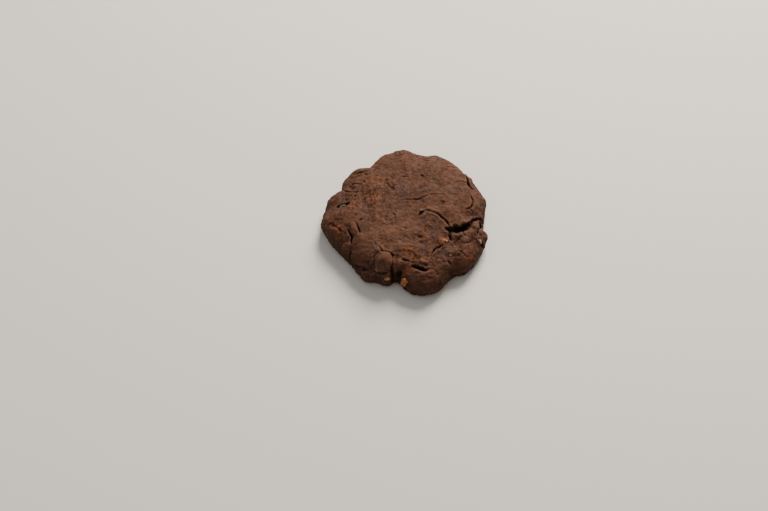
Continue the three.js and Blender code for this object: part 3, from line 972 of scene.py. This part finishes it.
@dataclass
class Relief:
    """Relief pressed into a skin along its normals: layers of patterns, each with its size and height."""

    name: str
    layers: tuple
    material: bpy.types.Material
    seed: float = 3.0
    warp: float = 2.5
    seed_step: float = 7.3
    bends_per_metre: float = 140.0

    def tree(self) -> bpy.types.NodeTree:
        """Build the node tree, with named inputs for each layer's size and height, in millimetres.

        Returns:
            The tree.
        """
        tree = new_tree(self.name, tuple(self.values()))
        given = add_node(tree, "NodeGroupInput").outputs
        place = add_node(tree, "GeometryNodeInputPosition")
        bend = add_node(tree, CLOUD, {"Vector": place, "Scale": self.bends_per_metre, "Detail": 1.0})
        turn = add_node(
            tree, VECTOR_MATH, {0: bend.outputs["Color"], 1: (0.5, 0.5, 0.5)}, operation="SUBTRACT"
        )
        reach = add_node(tree, MATH, {0: given["warp"], 1: MM}, operation="MULTIPLY")
        push = add_node(tree, VECTOR_MATH, {0: turn, "Scale": reach}, operation="SCALE")
        bent = add_node(tree, VECTOR_MATH, {0: place, 1: push}, operation="ADD")
        total: Any = 0.0
        for number, layer in enumerate(self.layers):
            drawn = add_node(tree, VECTOR_MATH, {0: bent, 1: layer.stretch}, operation="MULTIPLY")
            size = given[layer.name + "_size"]
            scale = add_node(tree, MATH, {0: MM_PER_METRE, 1: size}, operation="DIVIDE")
            turned = add_node(tree, MATH, {0: given["seed"], 1: number * self.seed_step}, operation="ADD")
            pattern = add_node(
                tree,
                layer.pattern.value,
                {"Vector": drawn, "W": turned, "Scale": scale, "Detail": layer.detail},
                **{"noise_dimensions" if layer.pattern is Pattern.CLOUD else "voronoi_dimensions": "4D"},
            )
            rise = add_node(
                tree,
                REMAP,
                {"Value": pattern, "From Min": layer.low, "From Max": layer.high,
                 "To Min": layer.start, "To Max": layer.end},
                interpolation_type="SMOOTHSTEP",
            )  # fmt: skip
            rise = add_node(tree, MATH, {0: rise, 1: given[layer.name + "_height"]}, operation="MULTIPLY")
            if layer.where:
                mask = add_node(tree, NAMED, {"Name": layer.where}, data_type="FLOAT")
                rise = add_node(tree, MATH, {0: rise, 1: mask}, operation="MULTIPLY")
            total = add_node(tree, MATH, {0: total, 1: rise}, operation="ADD")
        kept = add_node(tree, NAMED, {"Name": "free"}, data_type="FLOAT")
        total = add_node(tree, MATH, {0: total, 1: kept}, operation="MULTIPLY")
        total = add_node(tree, MATH, {0: total, 1: MM}, operation="MULTIPLY")
        normal = add_node(tree, "GeometryNodeInputNormal")
        move = add_node(tree, VECTOR_MATH, {0: normal, "Scale": total}, operation="SCALE")
        moved = add_node(tree, "GeometryNodeSetPosition", {"Geometry": given["Geometry"], "Offset": move})
        real = add_node(tree, "GeometryNodeRealizeInstances", {"Geometry": moved})
        dressed = add_node(tree, "GeometryNodeSetMaterial", {"Geometry": real, "Material": self.material})
        add_node(tree, "NodeGroupOutput", {"Geometry": dressed})
        return tree

    def values(self) -> dict[str, float]:
        """Give each named input its value."""
        named = {"seed": self.seed, "warp": self.warp}
        for layer in self.layers:
            named[layer.name + "_size"] = layer.size
            named[layer.name + "_height"] = layer.height
        return named

    def press(self, piece: bpy.types.Object) -> None:
        """Run the relief on a piece and keep the result as plain mesh."""
        run_nodes(piece, self.tree(), self.values())


@dataclass(frozen=True)
class Coat:
    """One colour laid over the ones before it, where a source goes from low to high."""

    colour: str
    by: str
    low: float
    high: float
    most: float
    also: str = ""


@dataclass(frozen=True)
class CocoaCrust:
    """Baked cocoa dough: a dry matt crust with a faint fat sheen, with painted shade in its splits,
    pits, pores and hollows and on its side faces.

    The eye reads it by soft brown mottling a few millimetres across, paler raised folds, patches
    of painted light and painted sheen, and nearly black painted shade in the cracks.
    """

    base: str = "#3b2115"
    warm: str = "#4b2c1b"
    # The violet colour is partly bloom and partly painted sheen; the pale colour after it is pale tone and
    # also painted light.
    violet_and_sheen: str = "#46322c"
    pale_and_painted_light: str = "#73503f"
    rust: str = "#703814"
    # The three darkest colours are painted shade: for the side faces, the hollows, and the cracks and pits;
    # the hollow colour also darkens random specks and grain.
    side: str = "#2b1408"
    hollow: str = "#1a0d07"
    split: str = "#120a05"
    bottom: str = "#3a2113"
    mottle_mm: float = 9.0
    patch_mm: float = 4.0
    fleck_mm: float = 2.4
    speckle_mm: float = 1.6
    grain_mm: float = 0.5
    roughness: float = 0.76
    duller: float = 0.14
    shinier: float = 0.1
    bump_strength: float = 0.6
    bump_height: float = 0.00035

    def coats(self) -> tuple[Coat, ...]:
        """List the colours in the order in which they are laid."""
        return (
            Coat(self.warm, "mottle", 0.4, 0.6, 1.0),
            Coat(self.violet_and_sheen, "patch", 0.52, 0.7, 0.35),
            # Painted light on parts of the top.
            Coat(self.pale_and_painted_light, "dust", 0.0, 1.0, 0.45),
            # Violet tone that is partly bloom and partly painted sheen.
            Coat(self.violet_and_sheen, "bloom", 0.0, 0.8, 0.9),
            Coat(self.rust, "ruddy", 0.0, 0.9, 0.9, also="fleck_share"),
            Coat(self.bottom, "bottom", 0.0, 1.0, 0.8),
            Coat(self.pale_and_painted_light, "fleck", 0.3, 0.8, 0.45),
            Coat(self.pale_and_painted_light, "cavity", -0.1, -1.2, 0.35),
            # Painted shade: darker side faces.
            Coat(self.side, "side", 0.0, 1.0, 0.6),
            # Painted shade: darker in hollows and creases.
            Coat(self.hollow, "cavity", 0.25, 1.4, 0.75),
            Coat(self.hollow, "speckle", 0.54, 0.66, 0.6, also="strewn"),
            Coat(self.pale_and_painted_light, "speckle", 0.46, 0.34, 0.6, also="strewn"),
            Coat(self.hollow, "grain", 0.56, 0.72, 0.3),
            Coat(self.pale_and_painted_light, "grain", 0.44, 0.28, 0.3),
            # Painted shade: near black in cracks and pits.
            Coat(self.split, "split", 0.0, 1.0, 0.9),
        )

    def make(self) -> bpy.types.Material:
        """Build the crust material.

        Returns:
            The material, which reads the values that the dough stores on its points.
        """
        material, place = new_material("baked_cocoa_crust")
        tree = material.node_tree
        sources: dict[str, Any] = {}
        for name in ("cavity", "split", "ruddy", "bloom", "bottom", "side", "dust", "strewn"):
            sources[name] = add_node(tree, "ShaderNodeAttribute", attribute_name=name).outputs["Fac"]
        sizes = {"mottle": self.mottle_mm, "patch": self.patch_mm, "fleck": self.fleck_mm,
                 "speckle": self.speckle_mm, "grain": self.grain_mm}  # fmt: skip
        for name, size in sizes.items():
            sources[name] = add_node(
                tree, CLOUD,
                {"Vector": place, "Scale": MM_PER_METRE / size, "Detail": 5.0, "Roughness": 0.6},
            )  # fmt: skip
        sources["fleck_share"] = add_node(
            tree, REMAP, {"Value": sources["fleck"], "From Min": 0.35, "From Max": 0.6, "To Min": 0.2}
        )
        colour: Any = linear(self.base)
        for coat in self.coats():
            amount = add_node(
                tree, REMAP,
                {"Value": sources[coat.by], "From Min": coat.low, "From Max": coat.high,
                 "To Max": coat.most},
                interpolation_type="SMOOTHSTEP",
            )  # fmt: skip
            if coat.also:
                amount = add_node(tree, MATH, {0: amount, 1: sources[coat.also]}, operation="MULTIPLY")
            inputs = {SHARE: amount, UNDER: colour, OVER: linear(coat.colour)}
            colour = add_node(tree, MIX, inputs, data_type="RGBA")
        gloss = add_node(
            tree, REMAP,
            {"Value": sources["patch"], "From Min": 0.35, "From Max": 0.65,
             "To Min": self.roughness + self.duller, "To Max": self.roughness - self.shinier},
        )  # fmt: skip
        bump = add_node(
            tree, "ShaderNodeBump",
            {"Strength": self.bump_strength, "Distance": self.bump_height, "Height": sources["grain"]},
        )  # fmt: skip
        shader = add_node(
            tree,
            "ShaderNodeBsdfPrincipled",
            {"Base Color": colour, "Roughness": gloss, "Normal": bump, "IOR": 1.46,
             "Specular IOR Level": 0.2},
        )  # fmt: skip
        add_node(tree, "ShaderNodeOutputMaterial", {"Surface": shader})
        return material


@dataclass
class Dough:
    """The baked round itself: the cracked dome, its crust and its finish."""

    dome: Dome
    voxel: float = 0.38
    most_triangles: int = 190_000
    finish: CocoaCrust = field(default_factory=CocoaCrust)
    soften_rounds: int = 3
    soften_share: float = 0.5

    # What share of the relief each part of the skin gets.
    coarse_all: float = 0.1
    coarse_wall: float = 0.5
    coarse_rest: float = 0.4
    patchy_all: float = 0.5
    patchy_coarse: float = 0.5
    patchy_wall: float = 0.3
    calm_rest: float = 0.3
    calm_crack: float = 0.6
    calm_smooth: float = 0.6

    # What the colour follows.
    near_rounds: int = 4
    far_rounds: int = 24
    spread_share: float = 0.6
    near_weight: float = 0.5
    far_weight: float = 0.3
    cavity_full: float = 0.16
    cavity_most: float = 1.5
    # Painted shade in the pits.
    pit_shade: float = 0.5
    strewn_all: float = 0.3

    # Ramps from 0 to 1, each over a height or a depth in millimetres.
    split_depths: tuple = (0.8, 4.0)
    lump_heights: tuple = (1, 5)
    rest_heights: tuple = (1.2, 0.2)
    zone_heights: tuple = (2, 8)
    bottom_heights: tuple = (0.9, 0.1)
    topside_heights: tuple = (8, 14)
    side_heights: tuple = (17, 9)
    strewn_heights: tuple = (1.5, 4)

    # Ramps from 0 to 1, each over how far the skin faces up, from -1 to 1.
    lump_facing: tuple = (-0.2, 0.4)
    wall_facing: tuple = (0.7, 0.2)
    rest_facing: tuple = (-0.3, -0.8)
    topside_facing: tuple = (0.4, 0.8)
    side_facing: tuple = (0.85, 0.35)
    side_end: tuple = (-0.9, -0.6)
    strewn_facing: tuple = (-0.1, 0.4)

    def build(self) -> bpy.types.Object:
        """Cut, swell and dress the dough.

        Returns:
            The finished piece, riding on the cookie's body.
        """
        whole = self.dome.build("whole_dome")
        surface = surface_of(whole)
        dough = new_object("dough", whole)
        tool = CrackTool(self.dome)
        tool.cut_wide(dough)
        self.even_mesh(dough)
        self.sculpt(dough.data, tool)
        self.mark_zones(dough.data, tool)
        Relief("crust_relief", CRUST_LAYERS, self.finish.make()).press(dough)
        self.thin(dough)
        drop_fragments(dough.data)
        keep_above_table(dough.data)
        self.mark_finish(dough.data, tool, surface)
        dough.data.shade_smooth()
        return fit(dough, "cocoa_dough", "cookie_dough")

    def even_mesh(self, dough: bpy.types.Object) -> None:
        """Rebuild the cut dough as one closed skin of even small faces."""
        evening = dough.modifiers.new("even", "REMESH")
        evening.mode = "VOXEL"
        evening.voxel_size = self.voxel * MM
        settle(dough)

    def sculpt(self, mesh: bpy.types.Mesh, tool: CrackTool) -> None:
        """Soften the voxel steps, then raise the listed lumps and press the fine cracks.

        Args:
            mesh: the even skin.
            tool: the tool that presses the cracks.
        """
        middle = self.dome.shift()
        move_points(mesh, relax(mesh, points_of(mesh), self.soften_rounds, self.soften_share))
        points, normals = points_of(mesh) / MM - middle, normals_of(mesh)
        top = smooth_step(*self.lump_facing, normals[:, 2]) * smooth_step(*self.lump_heights, points[:, 2])
        points += normals * ((lump_rise(points) - pit_depth(points)) * top)[:, None]
        move_points(mesh, (points + middle) * MM)
        pressed = tool.press_fine(points, normals_of(mesh))
        move_points(mesh, (pressed + middle) * MM)

    def mark_zones(self, mesh: bpy.types.Mesh, tool: CrackTool) -> None:
        """Store where each kind of relief belongs.

        Args:
            mesh: the sculpted skin.
            tool: the tool that knows where the fine cracks are.
        """
        points, normals = points_of(mesh) / MM - self.dome.shift(), normals_of(mesh)
        facing, height = normals[:, 2], points[:, 2]
        wall = smooth_step(*self.wall_facing, facing)
        rest_face = smooth_step(*self.rest_heights, height) * smooth_step(*self.rest_facing, facing)
        coarse = self.coarse_all + zones(COARSE_ZONES, points) * (1 - rest_face)
        coarse = np.clip(coarse + self.coarse_wall * wall + self.coarse_rest * rest_face, 0, 1)
        patchy = self.patchy_all + self.patchy_coarse * coarse + self.patchy_wall * wall
        store(mesh, "coarse", coarse)
        store(mesh, "band", np.clip(zones(BAND_ZONES, points), 0, 1))
        store(mesh, "creased", np.clip(zones(CREASE_ZONES, points), 0, 1))
        store(mesh, "patchy", np.clip(patchy, 0, 1))
        smooth = np.clip(-zones(COARSE_ZONES, points), 0, 1) * (1 - rest_face)
        free = (1 - self.calm_rest * rest_face) * (1 - self.calm_crack * tool.darkness(points))
        store(mesh, "free", free * (1 - self.calm_smooth * smooth))

    def thin(self, dough: bpy.types.Object) -> None:
        """Bring the triangle count down to its limit, keeping edges and folds."""
        mesh = dough.data
        triangles = sum(len(face.vertices) - 2 for face in mesh.polygons)
        if triangles <= self.most_triangles:
            return
        thinning = dough.modifiers.new("thin", "DECIMATE")
        thinning.ratio = self.most_triangles / triangles
        settle(dough)

    def mark_finish(self, mesh: bpy.types.Mesh, tool: CrackTool, surface: BVHTree) -> None:
        """Store what the colour follows: hollows, splits and sides for painted shade, zones for tone and
        painted light, and the rest face.

        Args:
            mesh: the finished skin.
            tool: the tool that knows where the fine cracks are.
            surface: the dome before it was cut.
        """
        points, normals = points_of(mesh), normals_of(mesh)
        near = relax(mesh, points, self.near_rounds, self.spread_share)
        far = relax(mesh, near, self.far_rounds, self.spread_share)
        hollow = ((near - points) * normals).sum(1) * self.near_weight
        hollow = hollow + ((far - points) * normals).sum(1) * self.far_weight
        depth = np.array([depth_below(surface, point) for point in points]) / MM
        broad = relax(mesh, normals, self.far_rounds, self.spread_share)
        broad /= np.linalg.norm(broad, axis=1)[:, None]
        flat = points / MM - self.dome.shift()
        facing, height = normals[:, 2], flat[:, 2]
        high = smooth_step(*self.zone_heights, height)
        # Painted shade in the cracks and pits: deep below the uncut dome, along the fine cracks and in the
        # pits.
        split = np.maximum(smooth_step(*self.split_depths, depth), tool.darkness(flat))
        split = np.maximum(split, np.clip(pit_depth(flat), 0, 1) * self.pit_shade * high)
        # Painted shade in the hollows follows this measure, and paler raised folds follow its negative.
        cavity = hollow / MM / self.cavity_full
        store(mesh, "cavity", np.clip(cavity, -self.cavity_most, self.cavity_most))
        store(mesh, "split", split)
        store(mesh, "ruddy", np.clip(zones(RUDDY_ZONES, flat), 0, 1) * high)
        # Partly bloom and partly painted sheen.
        store(mesh, "bloom", np.clip(zones(BLOOM_AND_SHEEN_ZONES, flat), 0, 1) * high)
        # Painted light: where the top is lightened.
        store(mesh, "dust", np.clip(zones(PAINTED_LIGHT_ZONES, flat), 0, 1) * high)
        store(mesh, "bottom", smooth_step(*self.bottom_heights, height))
        topside = smooth_step(*self.topside_facing, facing) * smooth_step(*self.topside_heights, height)
        store(mesh, "topside", topside)
        # Painted shade on the side faces.
        walls = smooth_step(*self.side_facing, broad[:, 2]) * smooth_step(*self.side_end, broad[:, 2])
        store(mesh, "side", walls * smooth_step(*self.side_heights, height))
        ledges = smooth_step(*self.strewn_facing, facing) * smooth_step(*self.strewn_heights, height)
        store(mesh, "strewn", np.clip(zones(COARSE_ZONES, flat) + self.strewn_all, 0, 1) * ledges)


def fit(piece: bpy.types.Object, slot: str, *nodes: str) -> bpy.types.Object:
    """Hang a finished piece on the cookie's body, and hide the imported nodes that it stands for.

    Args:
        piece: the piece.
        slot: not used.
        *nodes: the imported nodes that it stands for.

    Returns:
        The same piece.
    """
    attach(piece, BODY)
    if nodes:
        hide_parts(*nodes)
    return piece


# ---------------------------------------------------------------- nut bits


@dataclass(frozen=True)
class NutFlesh:
    """Toasted broken nut: waxy flesh with a dry fibrous break, glossier than the crust around it.

    The eye reads it by its pale warm body, darker skin patches and small satin glints.
    """

    name: str
    flesh: str
    skin: str
    roughness: float
    patch_mm: float = 2.2
    fibre_mm: float = 0.35
    fibre_height: float = 0.00015

    def make(self) -> bpy.types.Material:
        """Build the nut material."""
        material, place = new_material(self.name)
        tree = material.node_tree
        patches = add_node(
            tree, CLOUD,
            {"Vector": place, "Scale": MM_PER_METRE / self.patch_mm, "Detail": 4.0, "Roughness": 0.6},
        )  # fmt: skip
        share = add_node(tree, REMAP, {"Value": patches, "From Min": 0.4, "From Max": 0.58})
        inputs = {SHARE: share, UNDER: linear(self.skin), OVER: linear(self.flesh)}
        colour = add_node(tree, MIX, inputs, data_type="RGBA")
        stretched = add_node(tree, "ShaderNodeMapping", {"Vector": place, "Scale": (1.0, 1.0, 0.3)})
        fibres = add_node(
            tree, CLOUD, {"Vector": stretched, "Scale": MM_PER_METRE / self.fibre_mm, "Detail": 3.0}
        )
        inputs = {"Strength": 0.5, "Distance": self.fibre_height, "Height": fibres}
        bump = add_node(tree, "ShaderNodeBump", inputs)
        shader = add_node(
            tree,
            "ShaderNodeBsdfPrincipled",
            {"Base Color": colour, "Roughness": self.roughness, "Normal": bump, "IOR": 1.48,
             "Subsurface Weight": 0.15, "Subsurface Radius": (0.002, 0.0012, 0.0006),
             "Subsurface Scale": 0.5},
        )  # fmt: skip
        add_node(tree, "ShaderNodeOutputMaterial", {"Surface": shader})
        return material


BROWN_NUT = NutFlesh("toasted_brown_nut", flesh="#a8682f", skin="#6f3815", roughness=0.4)
GOLDEN_NUT = NutFlesh("golden_nut_flesh", flesh="#a07a42", skin="#5e3d1c", roughness=0.5)
PALE_NUT = NutFlesh("pale_nut_flesh", flesh="#98846f", skin="#5f4b3c", roughness=0.62)
GREY_NUT = NutFlesh("grey_nut_skin", flesh="#7a6e5c", skin="#463a2e", roughness=0.55)

NUTS = {
    "front_nut_chunk": ("brown_nut", BROWN_NUT),
    "crown_nut_flake": ("brown_nut", BROWN_NUT),
    "side_nut_bit": ("golden_nut", GOLDEN_NUT),
    "foot_nut_bit": ("golden_nut", GOLDEN_NUT),
    "rim_nut_sliver": ("pale_nut", PALE_NUT),
    "slit_nut_sliver": ("pale_nut", GREY_NUT),
    "crack_nut_crumb": ("pale_nut", PALE_NUT),
    "crown_nut_crumb": ("pale_nut", PALE_NUT),
}


@dataclass
class NutBit:
    """One broken bit of nut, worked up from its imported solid."""

    node: str
    slot: str
    material: bpy.types.Material
    faces_across: int = 28
    least_rise: float = 0.1
    rise_share: float = 0.02
    proud: float = 0.35
    most_lift: float = 0.6
    soften_rounds: int = 3
    soften_share: float = 0.5
    weld: float = 1e-6

    def build(self, crust: BVHTree, dome: BVHTree) -> bpy.types.Object:
        """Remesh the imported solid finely, roughen its breaks and set it proud of the swollen crust.

        Args:
            crust: the finished dough's surface.
            dome: the dough's surface before it was cut and swollen.

        Returns:
            The finished bit.
        """
        low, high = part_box(self.node)
        size = max(high - low)
        bit = new_object(self.node + "_look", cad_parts[self.node].data.copy())
        with edited(bit.data) as welded:
            bmesh.ops.remove_doubles(welded, verts=welded.verts, dist=self.weld)
        fining = bit.modifiers.new("fine", "REMESH")
        fining.mode = "VOXEL"
        fining.voxel_size = size / self.faces_across
        settle(bit)
        softened = relax(bit.data, points_of(bit.data), self.soften_rounds, self.soften_share)
        move_points(bit.data, softened)
        store(bit.data, "free", np.ones(len(bit.data.vertices)))
        self.break_relief(size / MM).press(bit)
        middle = (low + high) / 2
        _, outward, _, _ = dome.find_nearest(middle)
        swollen = depth_below(crust, middle) - depth_below(dome, middle) + self.proud * MM
        lift = min(max(swollen, self.proud * MM), self.most_lift * MM)
        move_points(bit.data, points_of(bit.data) + np.array(outward) * lift)
        bit.data.shade_smooth()
        return fit(bit, self.slot, self.node)

    def break_relief(self, size: float) -> Relief:
        """Size the broken faces' relief to the bit, whose size is in millimetres."""
        rise = self.least_rise + size * self.rise_share
        layers = (
            ReliefLayer("chip", Pattern.CLOUD, size * 0.5, rise, 0.3, 0.7, -1, 1),
            ReliefLayer("break", Pattern.CLOUD, size * 0.4, rise, 0.48, 0.54, -0.5, 0.5, detail=3),
            ReliefLayer("fibre", Pattern.CLOUD, size * 0.1, rise * 0.3, 0.3, 0.7, -1, 1),
        )
        return Relief(self.node + "_break", layers, self.material, warp=size * 0.1)


# ---------------------------------------------------------------- crumbs and specks


@dataclass(frozen=True)
class CrumbFinish:
    """Loose baked crumb: dull and open, a little lighter than the crust that it broke from."""

    name: str
    colour: str
    shade: str
    roughness: float = 0.8
    drifts_per_metre: float = 700.0

    def make(self) -> bpy.types.Material:
        """Build the crumb material, whose tone drifts from crumb to crumb."""
        material, place = new_material(self.name)
        tree = material.node_tree
        drift = add_node(tree, CLOUD, {"Vector": place, "Scale": self.drifts_per_metre, "Detail": 2.0})
        share = add_node(tree, REMAP, {"Value": drift, "From Min": 0.4, "From Max": 0.6})
        inputs = {SHARE: share, UNDER: linear(self.shade), OVER: linear(self.colour)}
        tone = add_node(tree, MIX, inputs, data_type="RGBA")
        shader = add_node(
            tree, "ShaderNodeBsdfPrincipled", {"Base Color": tone, "Roughness": self.roughness}
        )
        add_node(tree, "ShaderNodeOutputMaterial", {"Surface": shader})
        return material


@dataclass
class Scatter:
    """Small crumbs strewn over the dough where one of its values is high. Sizes are in millimetres."""

    name: str
    slot: str
    finish: CrumbFinish
    where: str
    least: float
    smallest: float
    largest: float
    per_square_cm: float
    seed: int
    uneven: tuple = (0.6, 1.15)
    most_turn: float = 6.28

    # The tree's named inputs.
    NUMBERS = ("smallest", "largest", "per_square_cm", "least")
    WHOLE_NUMBERS = ("seed",)

    def crumb(self) -> bpy.types.Object:
        """Make one uneven crumb, a millimetre across, with twenty faces."""
        mesh = bpy.data.meshes.new(self.name + "_crumb")
        rng = np.random.default_rng(self.seed)
        with edited(mesh) as shape:
            bmesh.ops.create_icosphere(shape, subdivisions=1, radius=0.5 * MM)
            for vertex in shape.verts:
                vertex.co *= rng.uniform(*self.uneven)
        return new_object(self.name + "_crumb", mesh)

    def tree(self, crumb: bpy.types.Object) -> bpy.types.NodeTree:
        """Build the node tree that strews the crumbs and keeps only them.

        Args:
            crumb: the crumb to strew.

        Returns:
            The tree, with named inputs for sizes, density and seed.
        """
        tree = new_tree(self.name, self.NUMBERS, self.WHOLE_NUMBERS)
        given = add_node(tree, "NodeGroupInput").outputs
        value = add_node(tree, NAMED, {"Name": self.where}, data_type="FLOAT")
        wanted = add_node(tree, REMAP, {"Value": value, "From Min": given["least"]})
        inputs = {0: given["per_square_cm"], 1: SQUARE_CM_PER_SQUARE_METRE}
        density = add_node(tree, MATH, inputs, operation="MULTIPLY")
        spread = add_node(tree, MATH, {0: density, 1: wanted}, operation="MULTIPLY")
        dots = add_node(
            tree,
            "GeometryNodeDistributePointsOnFaces",
            {"Mesh": given["Geometry"], "Density": spread, "Seed": given["seed"]},
        )
        size = add_node(
            tree,
            "FunctionNodeRandomValue",
            {2: given["smallest"], 3: given["largest"], "Seed": given["seed"]},
            data_type="FLOAT",
        )
        turn = add_node(
            tree, "FunctionNodeRandomValue", {1: (self.most_turn,) * 3, "Seed": given["seed"]},
            data_type="FLOAT_VECTOR",
        )  # fmt: skip
        shape = add_node(tree, "GeometryNodeObjectInfo", {"Object": crumb})
        strewn = add_node(
            tree,
            "GeometryNodeInstanceOnPoints",
            {"Points": dots, "Instance": shape.outputs["Geometry"], "Rotation": turn, "Scale": size},
        )
        real = add_node(tree, "GeometryNodeRealizeInstances", {"Geometry": strewn})
        dressed = add_node(
            tree, "GeometryNodeSetMaterial", {"Geometry": real, "Material": self.finish.make()}
        )
        add_node(tree, "NodeGroupOutput", {"Geometry": dressed})
        return tree

    def build(self, dough: bpy.types.Object) -> bpy.types.Object:
        """Strew the crumbs over a copy of the dough and keep them as one plain piece.

        Args:
            dough: the finished dough.

        Returns:
            The crumbs.
        """
        crumb = self.crumb()
        piece = new_object(self.name, dough.data.copy())
        names = self.NUMBERS + self.WHOLE_NUMBERS
        run_nodes(piece, self.tree(crumb), {name: getattr(self, name) for name in names})
        bpy.data.objects.remove(crumb)
        keep_above_table(piece.data)
        piece.data.shade_smooth()
        return fit(piece, self.slot)


@dataclass
class PaleSpecks:
    """Pale crumbs of nut and sugar that stand out on the top: x, y and size, in millimetres."""

    dome: Dome
    finish: CrumbFinish
    places: tuple = (
        (0.3, -0.6, 0.7), (-11.5, 25.7, 0.8), (1.3, -7.1, 0.5), (12.4, -18.8, 0.5), (17.3, -14.9, 0.6),
        (-17.6, -18.7, 0.9), (-16.6, -19.3, 0.7), (23.6, 43.2, 0.7), (-40, -23.1, 0.7),
        (9.4, -3.9, 0.6), (-12.4, -42.6, 0.6), (-10.8, -44, 0.5),
    )  # fmt: skip
    drop_from: float = 60.0
    stretch: tuple = (0.6, 1.3)
    uneven: tuple = (0.7, 1.1)
    seed: int = 21

    def build(self, crust: BVHTree) -> bpy.types.Object:
        """Set each speck in the crust.

        Args:
            crust: the finished dough's surface.

        Returns:
            All the specks as one piece.
        """
        rng = np.random.default_rng(self.seed)
        mesh = bpy.data.meshes.new("pale_crumbs")
        with edited(mesh) as shape:
            for x, y, size in self.places:
                above = Vector((np.array([x, y, self.drop_from]) + self.dome.shift()) * MM)
                where, _, _, _ = crust.ray_cast(above, Vector((0, 0, -1)))
                made = bmesh.ops.create_icosphere(shape, subdivisions=2, radius=size / 2 * MM)
                spread = Vector(rng.uniform(*self.stretch, 3))
                for vertex in made["verts"]:
                    vertex.co = where + vertex.co * spread * rng.uniform(*self.uneven)
        mesh.materials.append(self.finish.make())
        mesh.shade_smooth()
        return fit(new_object("pale_crumbs", mesh), "pale_nut")


SCATTERS = (
    Scatter(
        "loose_crumbs", "cocoa_dough", CrumbFinish("loose_cocoa_crumb", "#6b4430", "#3a2014"),
        "strewn", 0.5, 0.3, 0.9, 5.0, 5,
    ),
    Scatter(
        "pale_specks", "pale_nut", CrumbFinish("pale_nut_speck", "#8f6f58", "#6a4a38"),
        "topside", 0.0, 0.25, 0.5, 0.2, 8,
    ),
)  # fmt: skip


# ---------------------------------------------------------------- studio


@dataclass
class Studio:
    """A pale table, soft light from behind and above, and the camera."""

    floor_colour: str = "#ebe9e4"
    floor_side: float = 6.0
    floor_drop: float = 0.0001
    floor_roughness: float = 0.75
    room_colour: str = "#ede8e2"
    room_strength: float = 0.4
    eye: tuple = (-0.01416, -0.47985, 0.71447)
    look: tuple = (0.0, 0.538914, -0.842361)
    up: tuple = (0.045012, 0.841507, 0.538368)
    lens: float = 59.596

    def build(self) -> None:
        """Set the table, the lights and the camera."""
        self.table()
        self.light("window", (0.42, 1.0, 0.85), 0.65, 38.0, "#fff4e6")
        self.light("fill", (-0.6, 0.1, 1.2), 1.2, 1.5, "#f4f4ff")
        world = bpy.data.worlds.new("soft_room")
        bpy.context.scene.world = world
        world.use_nodes = True
        sky = world.node_tree.nodes["Background"]
        sky.inputs["Color"].default_value = linear(self.room_colour)
        sky.inputs["Strength"].default_value = self.room_strength
        self.camera()

    def table(self) -> None:
        """Lay the plain pale table top.

        It is a matt painted board, which takes a soft shadow and shows no reflection.
        """
        half = self.floor_side / 2
        corners = [(-half, -half), (half, -half), (half, half), (-half, half)]
        points = np.array([(x, y, -self.floor_drop) for x, y in corners])
        floor = new_object("table_top", mesh_from("table_top", points, [(0, 1, 2, 3)]))
        material = bpy.data.materials.new("pale_matt_table")
        material.use_nodes = True
        shader = material.node_tree.nodes["Principled BSDF"]
        shader.inputs["Base Color"].default_value = linear(self.floor_colour)
        shader.inputs["Roughness"].default_value = self.floor_roughness
        floor.data.materials.append(material)

    def light(self, name: str, place: tuple, side: float, power: float, colour: str) -> None:
        """Hang one soft square light, aimed at the cookie.

        Args:
            name: the light's name.
            place: where it hangs, in metres.
            side: its side, in metres.
            power: its power, in watts.
            colour: its hex colour.
        """
        lamp = bpy.data.lights.new(name, "AREA")
        lamp.size = side
        lamp.energy = power
        lamp.color = linear(colour)[:3]
        hung = bpy.data.objects.new(name, lamp)
        hung.location = place
        hung.rotation_euler = (-Vector(place)).to_track_quat("-Z", "Y").to_euler()
        bpy.context.scene.collection.objects.link(hung)

    def camera(self) -> None:
        """Stand the camera where it looks down at the cookie from the front."""
        data = bpy.data.cameras.new("camera")
        data.lens = self.lens
        data.sensor_width = 36.0
        data.clip_start = 0.01
        eye = bpy.data.objects.new("camera", data)
        back, upward = -Vector(self.look).normalized(), Vector(self.up).normalized()
        right = upward.cross(back).normalized()
        turn = Matrix((right, back.cross(right), back)).transposed().to_4x4()
        eye.matrix_world = Matrix.Translation(self.eye) @ turn
        bpy.context.scene.collection.objects.link(eye)
        bpy.context.scene.camera = eye


# ---------------------------------------------------------------- main


def report(piece: bpy.types.Object) -> None:
    """Log one finished piece and its size."""
    LOG.info("%s: %d points, %d faces", piece.name, len(piece.data.vertices), len(piece.data.polygons))


def main() -> None:
    """Build the studio, the dough, its nut bits and its crumbs, and log each piece's points and faces."""
    logging.basicConfig(level=logging.INFO, format="%(name)s %(message)s")
    Studio().build()
    dome = Dome()
    dough = Dough(dome).build()
    report(dough)
    crust = surface_of(dough.data)
    smooth = surface_of(dome.build("smooth_dome"))
    finishes: dict[str, bpy.types.Material] = {}
    for node, (slot, flesh) in NUTS.items():
        if flesh.name not in finishes:
            finishes[flesh.name] = flesh.make()
        report(NutBit(node, slot, finishes[flesh.name]).build(crust, smooth))
    report(PaleSpecks(dome, CrumbFinish("pale_crumb", "#a88f78", "#7a5c46")).build(crust))
    for scatter in SCATTERS:
        report(scatter.build(dough))


if __name__ == "__main__":
    main()
